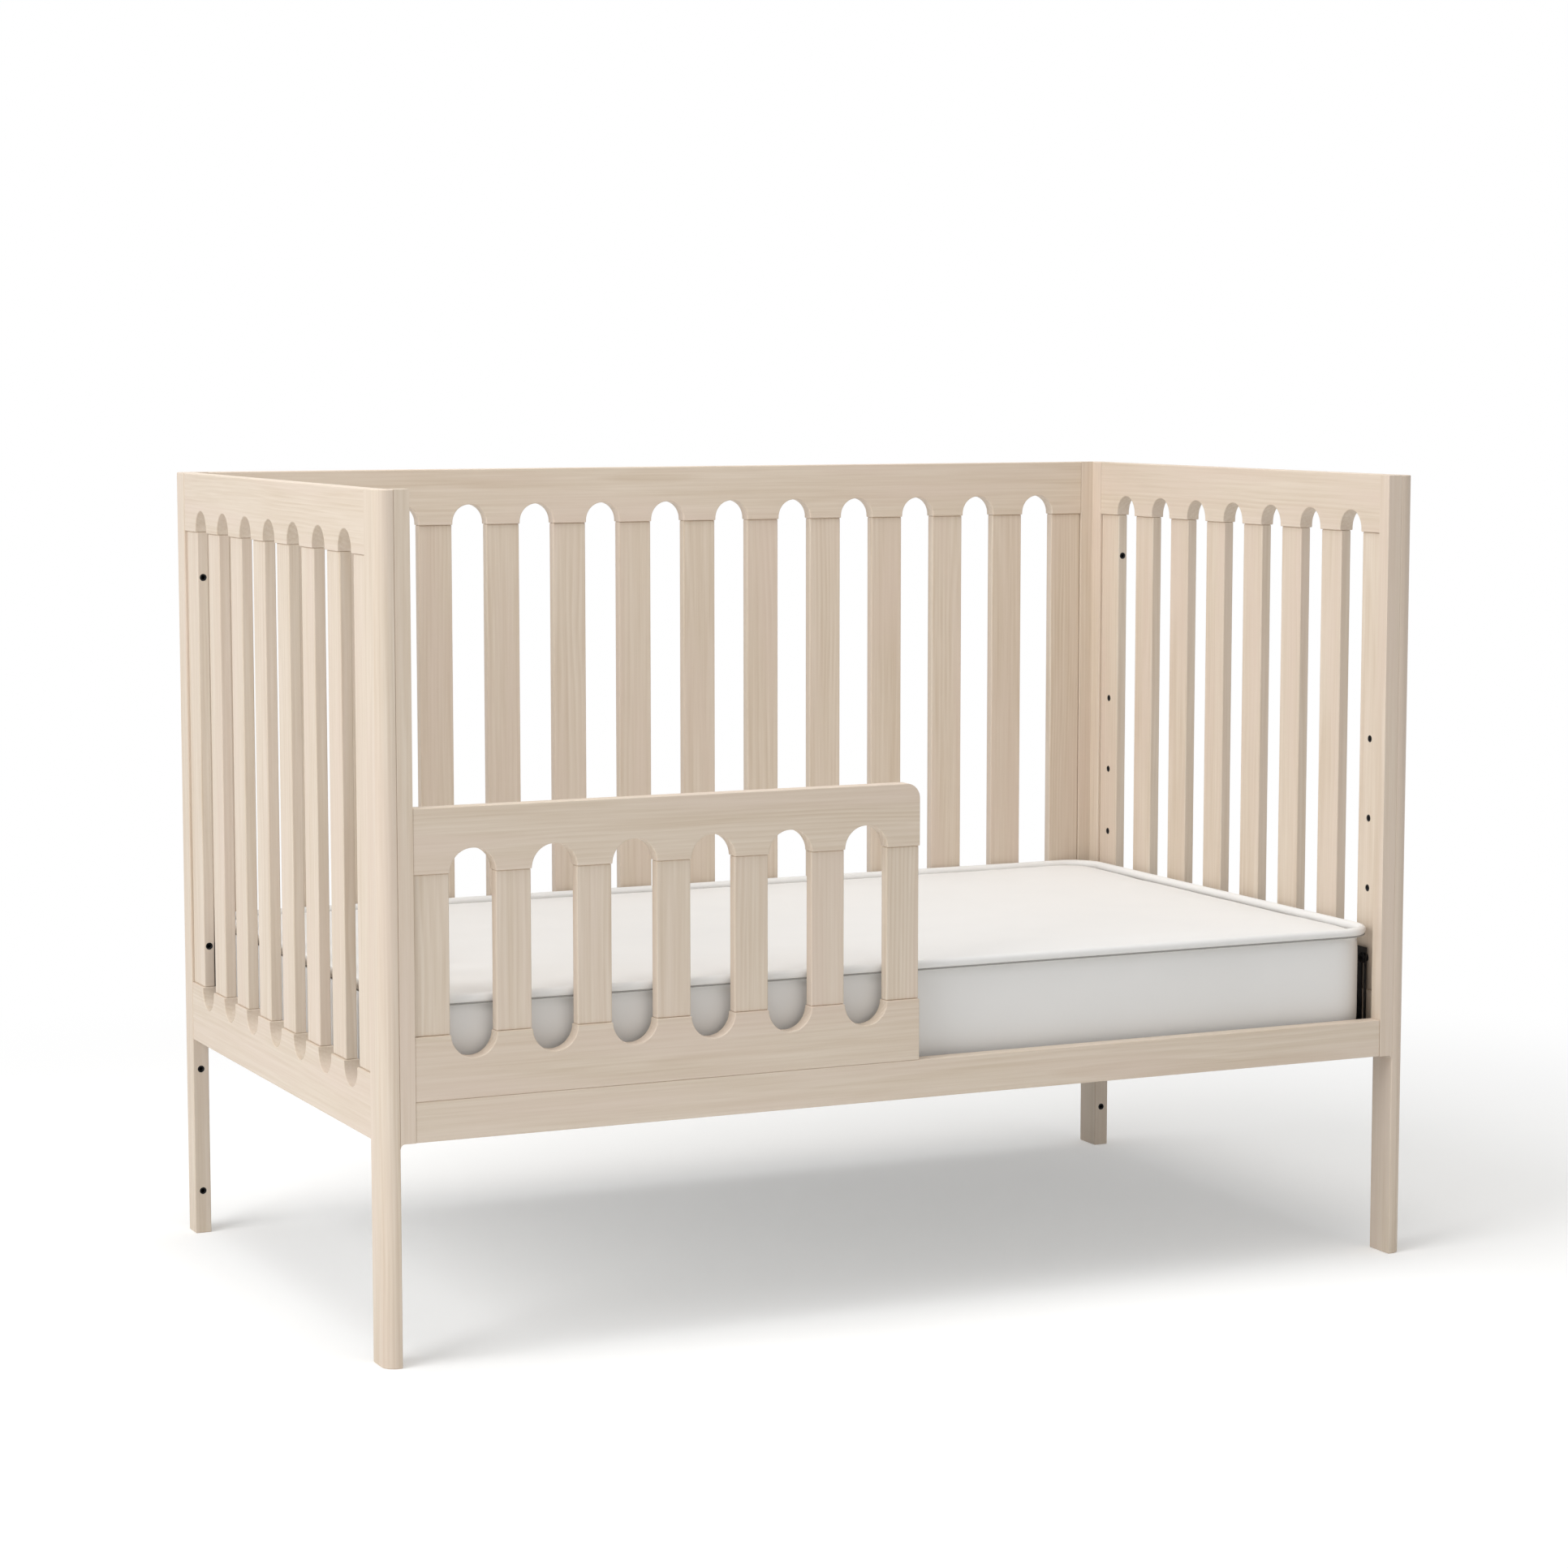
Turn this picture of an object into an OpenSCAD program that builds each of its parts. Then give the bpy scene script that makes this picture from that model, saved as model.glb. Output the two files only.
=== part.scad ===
/* [Overall] */
// Length over the two end panels
overall_length = 1370; // [1250:5:1600]
// Width from the front legs' faces to the back panel's rear face
overall_width = 800; // [700:5:950]
// Height of the end panels and the back panel
overall_height = 993; // [850:1:1150]
// Clear height from the floor to the underside of every lower rail
floor_clearance = 257.5; // [180:0.5:280]

/* [Corner posts] */
// Thickness of each leg, along the crib
leg_thickness = 21; // [18:0.5:35]
// Depth of each leg, across the crib
leg_depth = 43; // [32:0.5:60]
// Radius of each leg's outer corner
leg_corner_radius = 16; // [2:0.5:17]
// How far the corner block stands inwards from the leg
block_width = 18.3; // [14:0.1:30]
// Depth of the corner block, measured from the leg's outer face
block_depth = 20.5; // [20:0.1:30]
// Radius of the fillet under the corner block
block_fillet = 5; // [1:0.5:8]

/* [Rails] */
// Thickness of every rail
rail_thickness = 19.5; // [18:0.1:20]
// Height of the top rails, tabs included
top_rail_height = 74; // [65:0.5:95]
// Height of the lower rails of the ends and the back, tabs included
lower_rail_height = 75.5; // [70:0.5:105]
// Height of the arches cut between the tabs of the ends and the back
arch_rise = 27; // [24:0.5:40]
// Height of the low bar along the front
front_bar_height = 46.5; // [42:0.5:60]

/* [Slats] */
// Thickness of every slat
slat_thickness = 14.2; // [11:0.1:17]
// Width of the slats in the ends and the back
slat_width = 46.6; // [40:0.1:50]
// How far each rail's tab stands past the slat on either side
tab_margin = 0.4; // [0.2:0.1:2]
// Length of the tenon at each end of a slat
tenon_length = 10; // [6:0.5:12]
// Thickness of the tenons
tenon_thickness = 8; // [6:0.5:9]
// Shoulder left on each side of a tenon
tenon_shoulder = 5; // [3:0.5:8]

/* [Guard rail] */
// Length of the guard rail from the left corner block
guard_length = 636; // [560:1:700]
// Height of the guard's lower rail, tabs included
guard_lower_height = 74; // [68:0.5:85]
// Height of the guard's top rail, tabs included
guard_top_height = 75; // [68:0.5:85]
// Height of the guard's top edge above the front bar
guard_height = 333; // [280:1:400]
// Width of the guard's slats
guard_slat_width = 42.8; // [38:0.1:48]
// Radius of the guard's free top corner
guard_corner_radius = 18; // [4:0.5:20]

/* [Mattress support] */
// Height of the lowest fixing bolts above the floor
lowest_bolt_height = 374; // [366:0.5:384]
// Step between the three lower fixing heights
height_step = 90; // [70:1:96]
// Step up to the highest fixing height
top_step = 102; // [80:1:120]
// Distance from a fixing bolt down to the top of the steel frame
bracket_drop = 94.3; // [80:0.1:100]
// Height of the steel angle section
angle_height = 20; // [15:0.5:22]
// Width of the steel angle's top flange
angle_width = 20; // [15:0.5:30]
// Thickness of the steel angle
angle_wall = 2; // [1.5:0.1:3]
// Diameter of the deck wires
wire_diameter = 4; // [3:0.1:6]
// Thickness of the bracket plates
bracket_thickness = 2; // [1.5:0.1:2]
// Width of the bracket plates
bracket_width = 40; // [34:1:44]

/* [Mattress] */
// Thickness of the mattress
mattress_thickness = 140; // [110:1:155]
// Radius of the mattress's corners, seen from above
mattress_corner_radius = 50; // [42:1:80]
// Gap between the mattress and the end rails
mattress_end_gap = 5.4; // [5.4:0.1:20]
// Gap between the mattress and the front and back rails
mattress_side_gap = 1.5; // [1:0.1:15]

/* [Hardware] */
// Outer diameter of the threaded inserts
insert_diameter = 9; // [8:0.1:10]
// Length of the threaded inserts
insert_length = 12; // [8:0.5:12.5]
// Thread diameter of the inserts and the bolts in them
thread_diameter = 6; // [5:1:6]
// Diameter of the wooden dowels
dowel_diameter = 8; // [6:0.5:9]
// How much wider the dowels' bores are, for the glue
dowel_slip = 0.1; // [0:0.05:0.3]
// Height above the floor of the lower inserts in the legs
leg_insert_low = 56; // [30:1:120]
// Height above the floor of the upper inserts in the legs
leg_insert_high = 217.5; // [160:0.5:225]

/* [Hidden] */
$fn = 64;
cut = 1; // overshoot of a cut past the face it opens on
lift_gap = 0.3; // clearance between pieces that lift apart
end_slats = 8;
back_slats = 14;
guard_slats = 7;

post_width = leg_thickness + block_width;
end_span = overall_width - 2 * leg_depth;
back_span = overall_length - 2 * post_width;
slat_tab = slat_width + 2 * tab_margin;
guard_tab = guard_slat_width + 2 * tab_margin;
top_rail_z = overall_height - top_rail_height;
lower_rail_top = floor_clearance + lower_rail_height;
slat_length = top_rail_z - lower_rail_top;
front_bar_top = floor_clearance + front_bar_height;
guard_lower_top = front_bar_top + guard_lower_height;
guard_top_z = front_bar_top + guard_height - guard_top_height;
guard_slat_length = guard_top_z - guard_lower_top;

// Centre lines of the panels, measured from the crib's middle
end_x = (overall_length - leg_thickness) / 2;
side_y = (overall_width - block_depth) / 2;
guard_x = guard_length / 2 - back_span / 2;
end_slat_y = slat_place(end_slats - 1, end_slats, end_span, slat_tab);
end_slat_face = end_x - slat_thickness / 2;
end_rail_face = end_x - rail_thickness / 2;
side_rail_face = side_y - rail_thickness / 2;

// Mattress support
bolt_heights = [for (step = [0, 1, 2, 2]) lowest_bolt_height + step * height_step] + [0, 0, 0, top_step];
frame_top = lowest_bolt_height - bracket_drop;
bracket_face = end_rail_face - lift_gap;
bracket_inner = bracket_face - bracket_thickness;
bolt_head_thickness = 2.5;
bolt_head_diameter = 14;
bolt_head_face = bracket_inner - lift_gap - bolt_head_thickness;
bolt_collar_diameter = 11;
frame_end_x = bolt_head_face - 3.5;
frame_side_y = side_rail_face - 15;
slot_width = thread_diameter + 2 * lift_gap;
bracket_edge = slot_width / 2 + 3; // from the slot's middle to the plate's outer edge
ear_gap = bolt_head_diameter + 3;
bracket_above = 14;
deck_length_wires = 11;
deck_cross_wires = 9;
wire_weld = 0.6;

// Mattress
mattress_length = 2 * (end_rail_face - mattress_end_gap);
mattress_width = 2 * (side_rail_face - mattress_side_gap);
mattress_base = frame_top + lift_gap;

// Hidden connectors. A joint is a pair of heights, one for its cam and one for its dowel.
CAM = 0;
DOWEL = 1;
dowel_bore = dowel_diameter + dowel_slip;
dowel_depth = 15;
long_dowel_depth = 20;
cam_diameter = 15;
cam_depth = 13;
cam_set_back = 24;
cam_pin_diameter = 6;
cam_pin_hole = 7;
cam_pin_depth = 12;
cam_pin_past = 4;
top_rail_cam_z = overall_height - 30;
top_rail_dowel_z = top_rail_z + tenon_length + 9;
lower_rail_cam_z = floor_clearance + 30;
lower_rail_dowel_z = lower_rail_top - tenon_length - 18;
bar_cam_z = floor_clearance + 17;
bar_dowel_z = front_bar_top - 11;
guard_lower_cam_z = front_bar_top + 22;
guard_lower_dowel_z = front_bar_top + 45;
guard_top_cam_z = guard_top_z + 50;
guard_top_dowel_z = guard_top_z + tenon_length + 12;
back_joint = [[top_rail_cam_z, top_rail_dowel_z], [lower_rail_cam_z, lower_rail_dowel_z]];
bar_joint = [[bar_cam_z, bar_dowel_z]];
guard_joint = [[guard_lower_cam_z, guard_lower_dowel_z], [guard_top_cam_z, guard_top_dowel_z]];
end_dowel_z = [
    floor_clearance + 20,
    floor_clearance + 50,
    top_rail_z + tenon_length + 14,
    overall_height - 20
];
screw_diameter = 5;
screw_head_diameter = 10;
screw_head_height = 4;
screw_head_recess = 8;
screw_bite = 36;
screw_slats = [1, 3, 5];

// Inserts in the slats' edges, for the other ways the bed is put together
edge_insert_z = [lowest_bolt_height + 12, overall_height - 132];

pale_wood = "#D9CCBB";
black_steel = "#1C1C1E";
grey_steel = "#8C9094";
bright_zinc = "#B9BDC1";
mattress_white = "#F4F4F2";

// Centre of slat i of n along a panel whose rails are span long
function slat_place(i, n, span, tab) = (span - tab) * (i / (n - 1) - 0.5);

// Width of the opening between two tabs
function tab_gap(n, span, tab) = (span - n * tab) / (n - 1);

// ---------- places ----------

// Children drawn from a leg's outer corner: x and y point into the crib
module at_corner(side_x, side_y_sign) {
    translate([side_x * overall_length / 2, side_y_sign * overall_width / 2, 0])
        mirror([side_x > 0 ? 1 : 0, 0, 0])
            mirror([0, side_y_sign > 0 ? 1 : 0, 0])
                children();
}

module at_end(side_x) {
    translate([side_x * end_x, 0, 0])
        rotate([0, 0, 90])
            children();
}

// Children drawn at each column of fixing bolts: x points out of the crib's middle towards
// the end panel, and y towards the crib's centre line
module at_fixing_columns() {
    for (side_x = [-1, 1])
        for (side = [-1, 1])
            translate([0, side * end_slat_y, 0])
                mirror([side_x > 0 ? 0 : 1, 0, 0])
                    mirror([0, side > 0 ? 1 : 0, 0])
                        children();
}

module rod_x(diameter, length) {
    rotate([0, 90, 0])
        cylinder(d = diameter, h = length);
}

module rod_y(diameter, length) {
    rotate([-90, 0, 0])
        cylinder(d = diameter, h = length);
}

// ---------- legs ----------

module leg_outline() {
    r = leg_corner_radius;
    translate([r, 0])
        square([leg_thickness - r, leg_depth]);
    translate([0, r])
        square([leg_thickness, leg_depth - r]);
    translate([r, r])
        circle(r);
}

module block_and_fillet() {
    translate([leg_thickness, 0, floor_clearance])
        cube([block_width, block_depth, overall_height - floor_clearance]);
    translate([leg_thickness, block_depth, floor_clearance - block_fillet])
        rotate([90, 0, 0])
            linear_extrude(block_depth)
                difference() {
                    square(block_fillet);
                    translate([block_fillet, 0])
                        circle(block_fillet);
                }
}

// The joints' cam pins and dowels go into the block's inward face
module leg(joints) {
    difference() {
        union() {
            linear_extrude(overall_height)
                leg_outline();
            block_and_fillet();
        }
        for (joint = joints) {
            translate([post_width - cam_pin_depth, block_depth / 2, joint[CAM]])
                rod_x(cam_pin_diameter, cam_pin_depth + cut);
            translate([post_width - dowel_depth, block_depth / 2, joint[DOWEL]])
                rod_x(dowel_bore, dowel_depth + cut);
        }
        for (z = end_dowel_z)
            translate([leg_thickness / 2, leg_depth - long_dowel_depth, z])
                rod_y(dowel_bore, long_dowel_depth + cut);
        for (z = [leg_insert_low, leg_insert_high])
            translate([leg_thickness / 2, leg_depth - insert_length, z])
                rod_y(insert_diameter, insert_length + cut);
    }
}

module left_front_leg() {
    color(pale_wood)
        at_corner(-1, -1)
            leg(concat(bar_joint, guard_joint));
}

module left_back_leg() {
    color(pale_wood)
        at_corner(-1, 1)
            leg(back_joint);
}

module right_front_leg() {
    color(pale_wood)
        at_corner(1, -1)
            leg(bar_joint);
}

module right_back_leg() {
    color(pale_wood)
        at_corner(1, 1)
            leg(back_joint);
}

// ---------- rails ----------

// A rail along x, centred on y, with its underside at z = 0. The arches between the
// tabs open downwards on a top rail and upwards on a lower one.
module arched_rail(span, height, slats, tab, width, opens_up) {
    gap = tab_gap(slats, span, tab);
    edge = opens_up ? height : 0;
    straight = max(0, arch_rise - gap / 2);
    crown = opens_up ? height - straight : straight;
    difference() {
        translate([0, rail_thickness / 2, 0])
            rotate([90, 0, 0])
                linear_extrude(rail_thickness)
                    difference() {
                        translate([-span / 2, 0])
                            square([span, height]);
                        for (i = [0:slats - 2])
                            translate([slat_place(i, slats, span, tab) + (tab + gap) / 2, crown]) {
                                circle(d = gap);
                                translate([-gap / 2, opens_up ? 0 : -straight - cut])
                                    square([gap, straight + cut]);
                            }
                    }
        for (i = [0:slats - 1])
            translate([slat_place(i, slats, span, tab), 0, edge])
                cube([width - 2 * tenon_shoulder, tenon_thickness, 2 * tenon_length], center = true);
    }
}

// Bores in one end of a long rail: the cam's pocket, opening on the rail's +Y face, its
// pin's bore and a dowel's bore. The rail's end is at x = 0 and the rail lies towards +x.
module rail_end_bores(joint, z0) {
    translate([cam_set_back, rail_thickness / 2 - cam_depth, joint[CAM] - z0])
        rod_y(cam_diameter, cam_depth + cut);
    translate([-cut, 0, joint[CAM] - z0])
        rod_x(cam_pin_hole, cam_set_back + cam_pin_past + cut + lift_gap);
    translate([-cut, 0, joint[DOWEL] - z0])
        rod_x(dowel_bore, dowel_depth + cut);
}

module end_rail(z0, height, opens_up) {
    difference() {
        translate([0, 0, z0])
            arched_rail(end_span, height, end_slats, slat_tab, slat_width, opens_up);
        for (side = [-1, 1])
            for (z = end_dowel_z)
                translate([side * end_span / 2 - long_dowel_depth, 0, z])
                    rod_x(dowel_bore, 2 * long_dowel_depth);
    }
}

module long_rail(z0, height, opens_up, joint) {
    translate([0, side_y, z0])
        difference() {
            arched_rail(back_span, height, back_slats, slat_tab, slat_width, opens_up);
            for (side = [0, 1])
                mirror([side, 0, 0])
                    translate([-back_span / 2, 0, 0])
                        rail_end_bores(joint, z0);
        }
}

module left_top_rail() {
    color(pale_wood)
        at_end(-1)
            end_rail(top_rail_z, top_rail_height, false);
}

module left_lower_rail() {
    color(pale_wood)
        at_end(-1)
            end_rail(floor_clearance, lower_rail_height, true);
}

module right_top_rail() {
    color(pale_wood)
        at_end(1)
            end_rail(top_rail_z, top_rail_height, false);
}

module right_lower_rail() {
    color(pale_wood)
        at_end(1)
            end_rail(floor_clearance, lower_rail_height, true);
}

module back_top_rail() {
    color(pale_wood)
        long_rail(top_rail_z, top_rail_height, false, back_joint[0]);
}

module back_lower_rail() {
    color(pale_wood)
        long_rail(floor_clearance, lower_rail_height, true, back_joint[1]);
}

// Bores of the screws that hold the guard on the bar, from the bar's underside
module screw_bores(z0) {
    for (i = screw_slats)
        translate([guard_x + slat_place(i, guard_slats, guard_length, guard_tab), 0, -z0]) {
            translate([0, 0, floor_clearance - cut])
                cylinder(d = screw_head_diameter, h = screw_head_recess + cut);
            translate([0, 0, floor_clearance])
                cylinder(d = screw_diameter, h = front_bar_height + screw_bite);
        }
}

module front_bar() {
    color(pale_wood)
        translate([0, -side_y, floor_clearance])
            difference() {
                translate([-back_span / 2, -rail_thickness / 2, 0])
                    cube([back_span, rail_thickness, front_bar_height]);
                for (side = [0, 1])
                    mirror([side, 0, 0])
                        translate([-back_span / 2, 0, 0])
                            rail_end_bores(bar_joint[0], floor_clearance);
                screw_bores(floor_clearance);
            }
}

module guard_lower_rail() {
    color(pale_wood)
        translate([0, -side_y, front_bar_top])
            difference() {
                translate([guard_x, 0, 0])
                    arched_rail(guard_length, guard_lower_height, guard_slats, guard_tab,
                        guard_slat_width, true);
                translate([-back_span / 2, 0, 0])
                    rail_end_bores(guard_joint[0], front_bar_top);
                screw_bores(front_bar_top);
            }
}

module guard_top_rail() {
    r = guard_corner_radius;
    color(pale_wood)
        translate([0, -side_y, guard_top_z])
            difference() {
                translate([guard_x, 0, 0])
                    arched_rail(guard_length, guard_top_height, guard_slats, guard_tab,
                        guard_slat_width, false);
                translate([-back_span / 2, 0, 0])
                    rail_end_bores(guard_joint[1], guard_top_z);
                translate([guard_x + guard_length / 2 - r, rail_thickness / 2 + cut, guard_top_height - r])
                    rotate([90, 0, 0])
                        linear_extrude(rail_thickness + 2 * cut)
                            difference() {
                                square(r + cut);
                                circle(r);
                            }
            }
}

// ---------- slats ----------

// A slat with its width along x, its thickness along y and its shoulders at 0 and length
module slat(width, length) {
    translate([-width / 2, -slat_thickness / 2, 0])
        cube([width, slat_thickness, length]);
    translate([-width / 2 + tenon_shoulder, -tenon_thickness / 2, -tenon_length])
        cube([width - 2 * tenon_shoulder, tenon_thickness, length + 2 * tenon_length]);
}

// Slats are counted from the front. The two next to the legs take the inserts.
module end_slat(side_x, i) {
    y = slat_place(i - 1, end_slats, end_span, slat_tab);
    color(pale_wood)
        if (i == 1 || i == end_slats)
            difference() {
                plain_end_slat(side_x, y);
                insert_seats();
            }
        else
            plain_end_slat(side_x, y);
}

module plain_end_slat(side_x, y) {
    translate([side_x * end_x, y, lower_rail_top])
        rotate([0, 0, 90])
            slat(slat_width, slat_length);
}

// Slats are counted from the left
module back_slat(i) {
    color(pale_wood)
        translate([slat_place(i - 1, back_slats, back_span, slat_tab), side_y, lower_rail_top])
            slat(slat_width, slat_length);
}

module guard_slat(i) {
    x = guard_x + slat_place(i - 1, guard_slats, guard_length, guard_tab);
    color(pale_wood)
        translate([x, -side_y, guard_lower_top])
            slat(guard_slat_width, guard_slat_length);
}

// ---------- inserts and connectors ----------

// Children at each insert in the end slats, with z pointing out of the insert's mouth
module at_slat_inserts() {
    at_fixing_columns()
        for (z = bolt_heights)
            translate([end_slat_face, 0, z])
                rotate([0, -90, 0])
                    children();
    for (side_x = [-1, 1])
        for (side = [-1, 1])
            for (z = edge_insert_z)
                translate([side_x * end_x, side * (end_slat_y - slat_width / 2), z])
                    rotate([side * 90, 0, 0])
                        children();
}

module insert_seats() {
    at_slat_inserts()
        translate([0, 0, -insert_length])
            cylinder(d = insert_diameter, h = insert_length + cut);
}

module insert() {
    translate([0, 0, -insert_length])
        difference() {
            cylinder(d = insert_diameter, h = insert_length);
            translate([0, 0, -cut])
                cylinder(d = thread_diameter, h = insert_length + 2 * cut);
        }
}

module threaded_inserts() {
    color(black_steel) {
        at_slat_inserts()
            insert();
        for (side_x = [-1, 1])
            for (side = [-1, 1])
                at_corner(side_x, side)
                    for (z = [leg_insert_low, leg_insert_high])
                        translate([leg_thickness / 2, leg_depth, z])
                            rotate([-90, 0, 0])
                                insert();
    }
}

// Children at each joint of a long rail and a corner block, with x pointing into the rail
// from its end, at the height of the joint's cam or of its dowel
module at_rail_ends(fitting) {
    for (side = [0, 1])
        mirror([side, 0, 0]) {
            for (joint = back_joint)
                translate([-back_span / 2, side_y, joint[fitting]])
                    children();
            for (joint = bar_joint)
                translate([-back_span / 2, -side_y, joint[fitting]])
                    children();
        }
    for (joint = guard_joint)
        translate([-back_span / 2, -side_y, joint[fitting]])
            children();
}

module cam_discs() {
    color(bright_zinc)
        at_rail_ends(CAM)
            translate([cam_set_back, rail_thickness / 2 - cam_depth, 0])
                difference() {
                    rod_y(cam_diameter, cam_depth);
                    translate([-cam_diameter, cam_depth - rail_thickness / 2, 0])
                        rod_x(cam_pin_hole, cam_diameter + cam_pin_past + lift_gap);
                }
}

module cam_pins() {
    color(grey_steel)
        at_rail_ends(CAM)
            translate([-cam_pin_depth, 0, 0])
                rod_x(cam_pin_diameter, cam_pin_depth + cam_set_back + cam_pin_past);
}

module rail_dowels() {
    color(pale_wood) {
        at_rail_ends(DOWEL)
            translate([-dowel_depth, 0, 0])
                rod_x(dowel_diameter, 2 * dowel_depth);
        for (side_x = [-1, 1])
            for (side = [-1, 1])
                for (z = end_dowel_z)
                    translate([side_x * end_x, side * end_span / 2 - long_dowel_depth, z])
                        rod_y(dowel_diameter, 2 * long_dowel_depth);
    }
}

module guard_screws() {
    color(grey_steel)
        for (i = screw_slats)
            translate([guard_x + slat_place(i, guard_slats, guard_length, guard_tab), -side_y, 0])
                translate([0, 0, floor_clearance + screw_head_recess - screw_head_height]) {
                    cylinder(d = screw_head_diameter, h = screw_head_height);
                    cylinder(d = screw_diameter,
                        h = front_bar_height + screw_bite - screw_head_recess + screw_head_height);
                }
}

// ---------- mattress support ----------

module support_frame() {
    outer_x = 2 * frame_end_x;
    outer_y = 2 * frame_side_y;
    color(black_steel)
        difference() {
            translate([-outer_x / 2, -outer_y / 2, frame_top - angle_height])
                cube([outer_x, outer_y, angle_height]);
            translate([-outer_x / 2 + angle_wall, -outer_y / 2 + angle_wall, frame_top - angle_height - cut])
                cube([outer_x - 2 * angle_wall, outer_y - 2 * angle_wall, angle_height + cut - angle_wall]);
            translate([-outer_x / 2 + angle_width, -outer_y / 2 + angle_width, frame_top - angle_height])
                cube([outer_x - 2 * angle_width, outer_y - 2 * angle_width, angle_height + cut]);
        }
}

// Welded wires that end against the inside of the steel frame
module support_deck() {
    inner_x = 2 * (frame_end_x - angle_wall);
    inner_y = 2 * (frame_side_y - angle_wall);
    z = frame_top - angle_wall - wire_diameter / 2;
    color(grey_steel) {
        for (i = [1:deck_length_wires])
            translate([-inner_x / 2, inner_y * (i / (deck_length_wires + 1) - 0.5), z])
                rod_x(wire_diameter, inner_x);
        for (i = [1:deck_cross_wires])
            translate([inner_x * (i / (deck_cross_wires + 1) - 0.5), -inner_y / 2, z - wire_diameter + wire_weld])
                rod_y(wire_diameter, inner_y);
    }
}

// Four hooks: a plate whose slot drops over the fixing bolt, and an ear that joins the
// plate to the frame on the side towards the crib's centre line
module support_brackets() {
    base = frame_top - angle_height;
    color(black_steel)
        at_fixing_columns()
            difference() {
                union() {
                    translate([bracket_inner, -bracket_edge, base])
                        cube([bracket_thickness, bracket_width, lowest_bolt_height + bracket_above - base]);
                    translate([frame_end_x, -bracket_edge, base])
                        cube([bracket_inner - frame_end_x, bracket_width, angle_height]);
                }
                translate([bracket_inner - cut, -slot_width / 2, base - cut])
                    cube([bracket_thickness + 2 * cut, slot_width, lowest_bolt_height - base + cut]);
                translate([bracket_inner - cut, 0, lowest_bolt_height])
                    rod_x(slot_width, bracket_thickness + 2 * cut);
                translate([frame_end_x - cut, -bracket_edge - cut, base - cut])
                    cube([
                        bracket_inner - frame_end_x + cut,
                        bracket_edge + ear_gap / 2 + cut,
                        angle_height + 2 * cut
                    ]);
            }
}

// Shoulder bolts in the lowest inserts: thread, collar on the slat, neck and head
module support_bolts() {
    color(black_steel)
        at_fixing_columns()
            translate([0, 0, lowest_bolt_height]) {
                translate([bolt_head_face, 0, 0])
                    rod_x(bolt_head_diameter, bolt_head_thickness);
                translate([bolt_head_face, 0, 0])
                    rod_x(thread_diameter, end_slat_face + insert_length - bolt_head_face);
                translate([end_rail_face, 0, 0])
                    rod_x(bolt_collar_diameter, end_slat_face - end_rail_face);
            }
}

// ---------- mattress ----------

module mattress() {
    r = mattress_corner_radius;
    color(mattress_white)
        translate([0, 0, mattress_base])
            linear_extrude(mattress_thickness) {
                square([mattress_length - 2 * r, mattress_width], center = true);
                square([mattress_length, mattress_width - 2 * r], center = true);
                for (side_x = [-1, 1])
                    for (side = [-1, 1])
                        translate([side_x * (mattress_length / 2 - r), side * (mattress_width / 2 - r)])
                            circle(r);
            }
}

left_front_leg();
left_back_leg();
right_front_leg();
right_back_leg();
left_top_rail();
left_lower_rail();
right_top_rail();
right_lower_rail();
for (i = [1:end_slats])
    end_slat(-1, i);
for (i = [1:end_slats])
    end_slat(1, i);
back_top_rail();
back_lower_rail();
for (i = [1:back_slats])
    back_slat(i);
front_bar();
guard_lower_rail();
guard_top_rail();
for (i = [1:guard_slats])
    guard_slat(i);
mattress();
support_frame();
support_deck();
support_brackets();
support_bolts();
threaded_inserts();
cam_discs();
cam_pins();
rail_dowels();
guard_screws();
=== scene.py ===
"""Looks of a wooden crib set up as a toddler bed, built around its fixed CAD frame."""
import math
import random

import bpy
from bpy.props import FloatProperty, FloatVectorProperty, PointerProperty
from bpy.types import Operator, Panel, PropertyGroup
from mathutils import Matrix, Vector


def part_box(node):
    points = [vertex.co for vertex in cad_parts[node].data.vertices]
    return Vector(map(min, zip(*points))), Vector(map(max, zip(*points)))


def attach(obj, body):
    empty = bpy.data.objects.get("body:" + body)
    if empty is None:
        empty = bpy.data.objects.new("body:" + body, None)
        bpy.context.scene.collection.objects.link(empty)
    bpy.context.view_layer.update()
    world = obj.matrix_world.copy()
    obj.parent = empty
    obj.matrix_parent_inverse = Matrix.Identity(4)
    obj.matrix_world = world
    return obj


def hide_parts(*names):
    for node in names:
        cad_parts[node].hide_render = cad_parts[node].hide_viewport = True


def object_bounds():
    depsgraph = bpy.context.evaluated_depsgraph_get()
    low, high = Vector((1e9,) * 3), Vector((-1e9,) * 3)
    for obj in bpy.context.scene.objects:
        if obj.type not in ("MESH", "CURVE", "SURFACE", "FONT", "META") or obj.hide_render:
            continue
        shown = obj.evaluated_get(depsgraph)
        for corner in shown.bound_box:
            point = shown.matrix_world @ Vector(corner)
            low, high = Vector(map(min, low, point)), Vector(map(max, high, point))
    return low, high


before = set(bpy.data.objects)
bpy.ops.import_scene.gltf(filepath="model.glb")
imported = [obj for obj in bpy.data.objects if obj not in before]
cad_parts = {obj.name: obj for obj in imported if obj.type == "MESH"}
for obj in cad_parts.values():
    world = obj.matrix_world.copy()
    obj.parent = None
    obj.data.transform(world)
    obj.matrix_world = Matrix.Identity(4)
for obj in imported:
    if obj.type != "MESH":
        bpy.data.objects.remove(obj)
cad_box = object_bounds()

bl_info = {
    "name": "Baby Crib",
    "version": (1, 0, 0),
    "blender": (4, 5, 0),
    "location": "View3D > Sidebar > Crib",
    "description": "Models a slatted wooden crib with a guard rail, its hardware and its mattress",
    "category": "Add Mesh",
}

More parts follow.
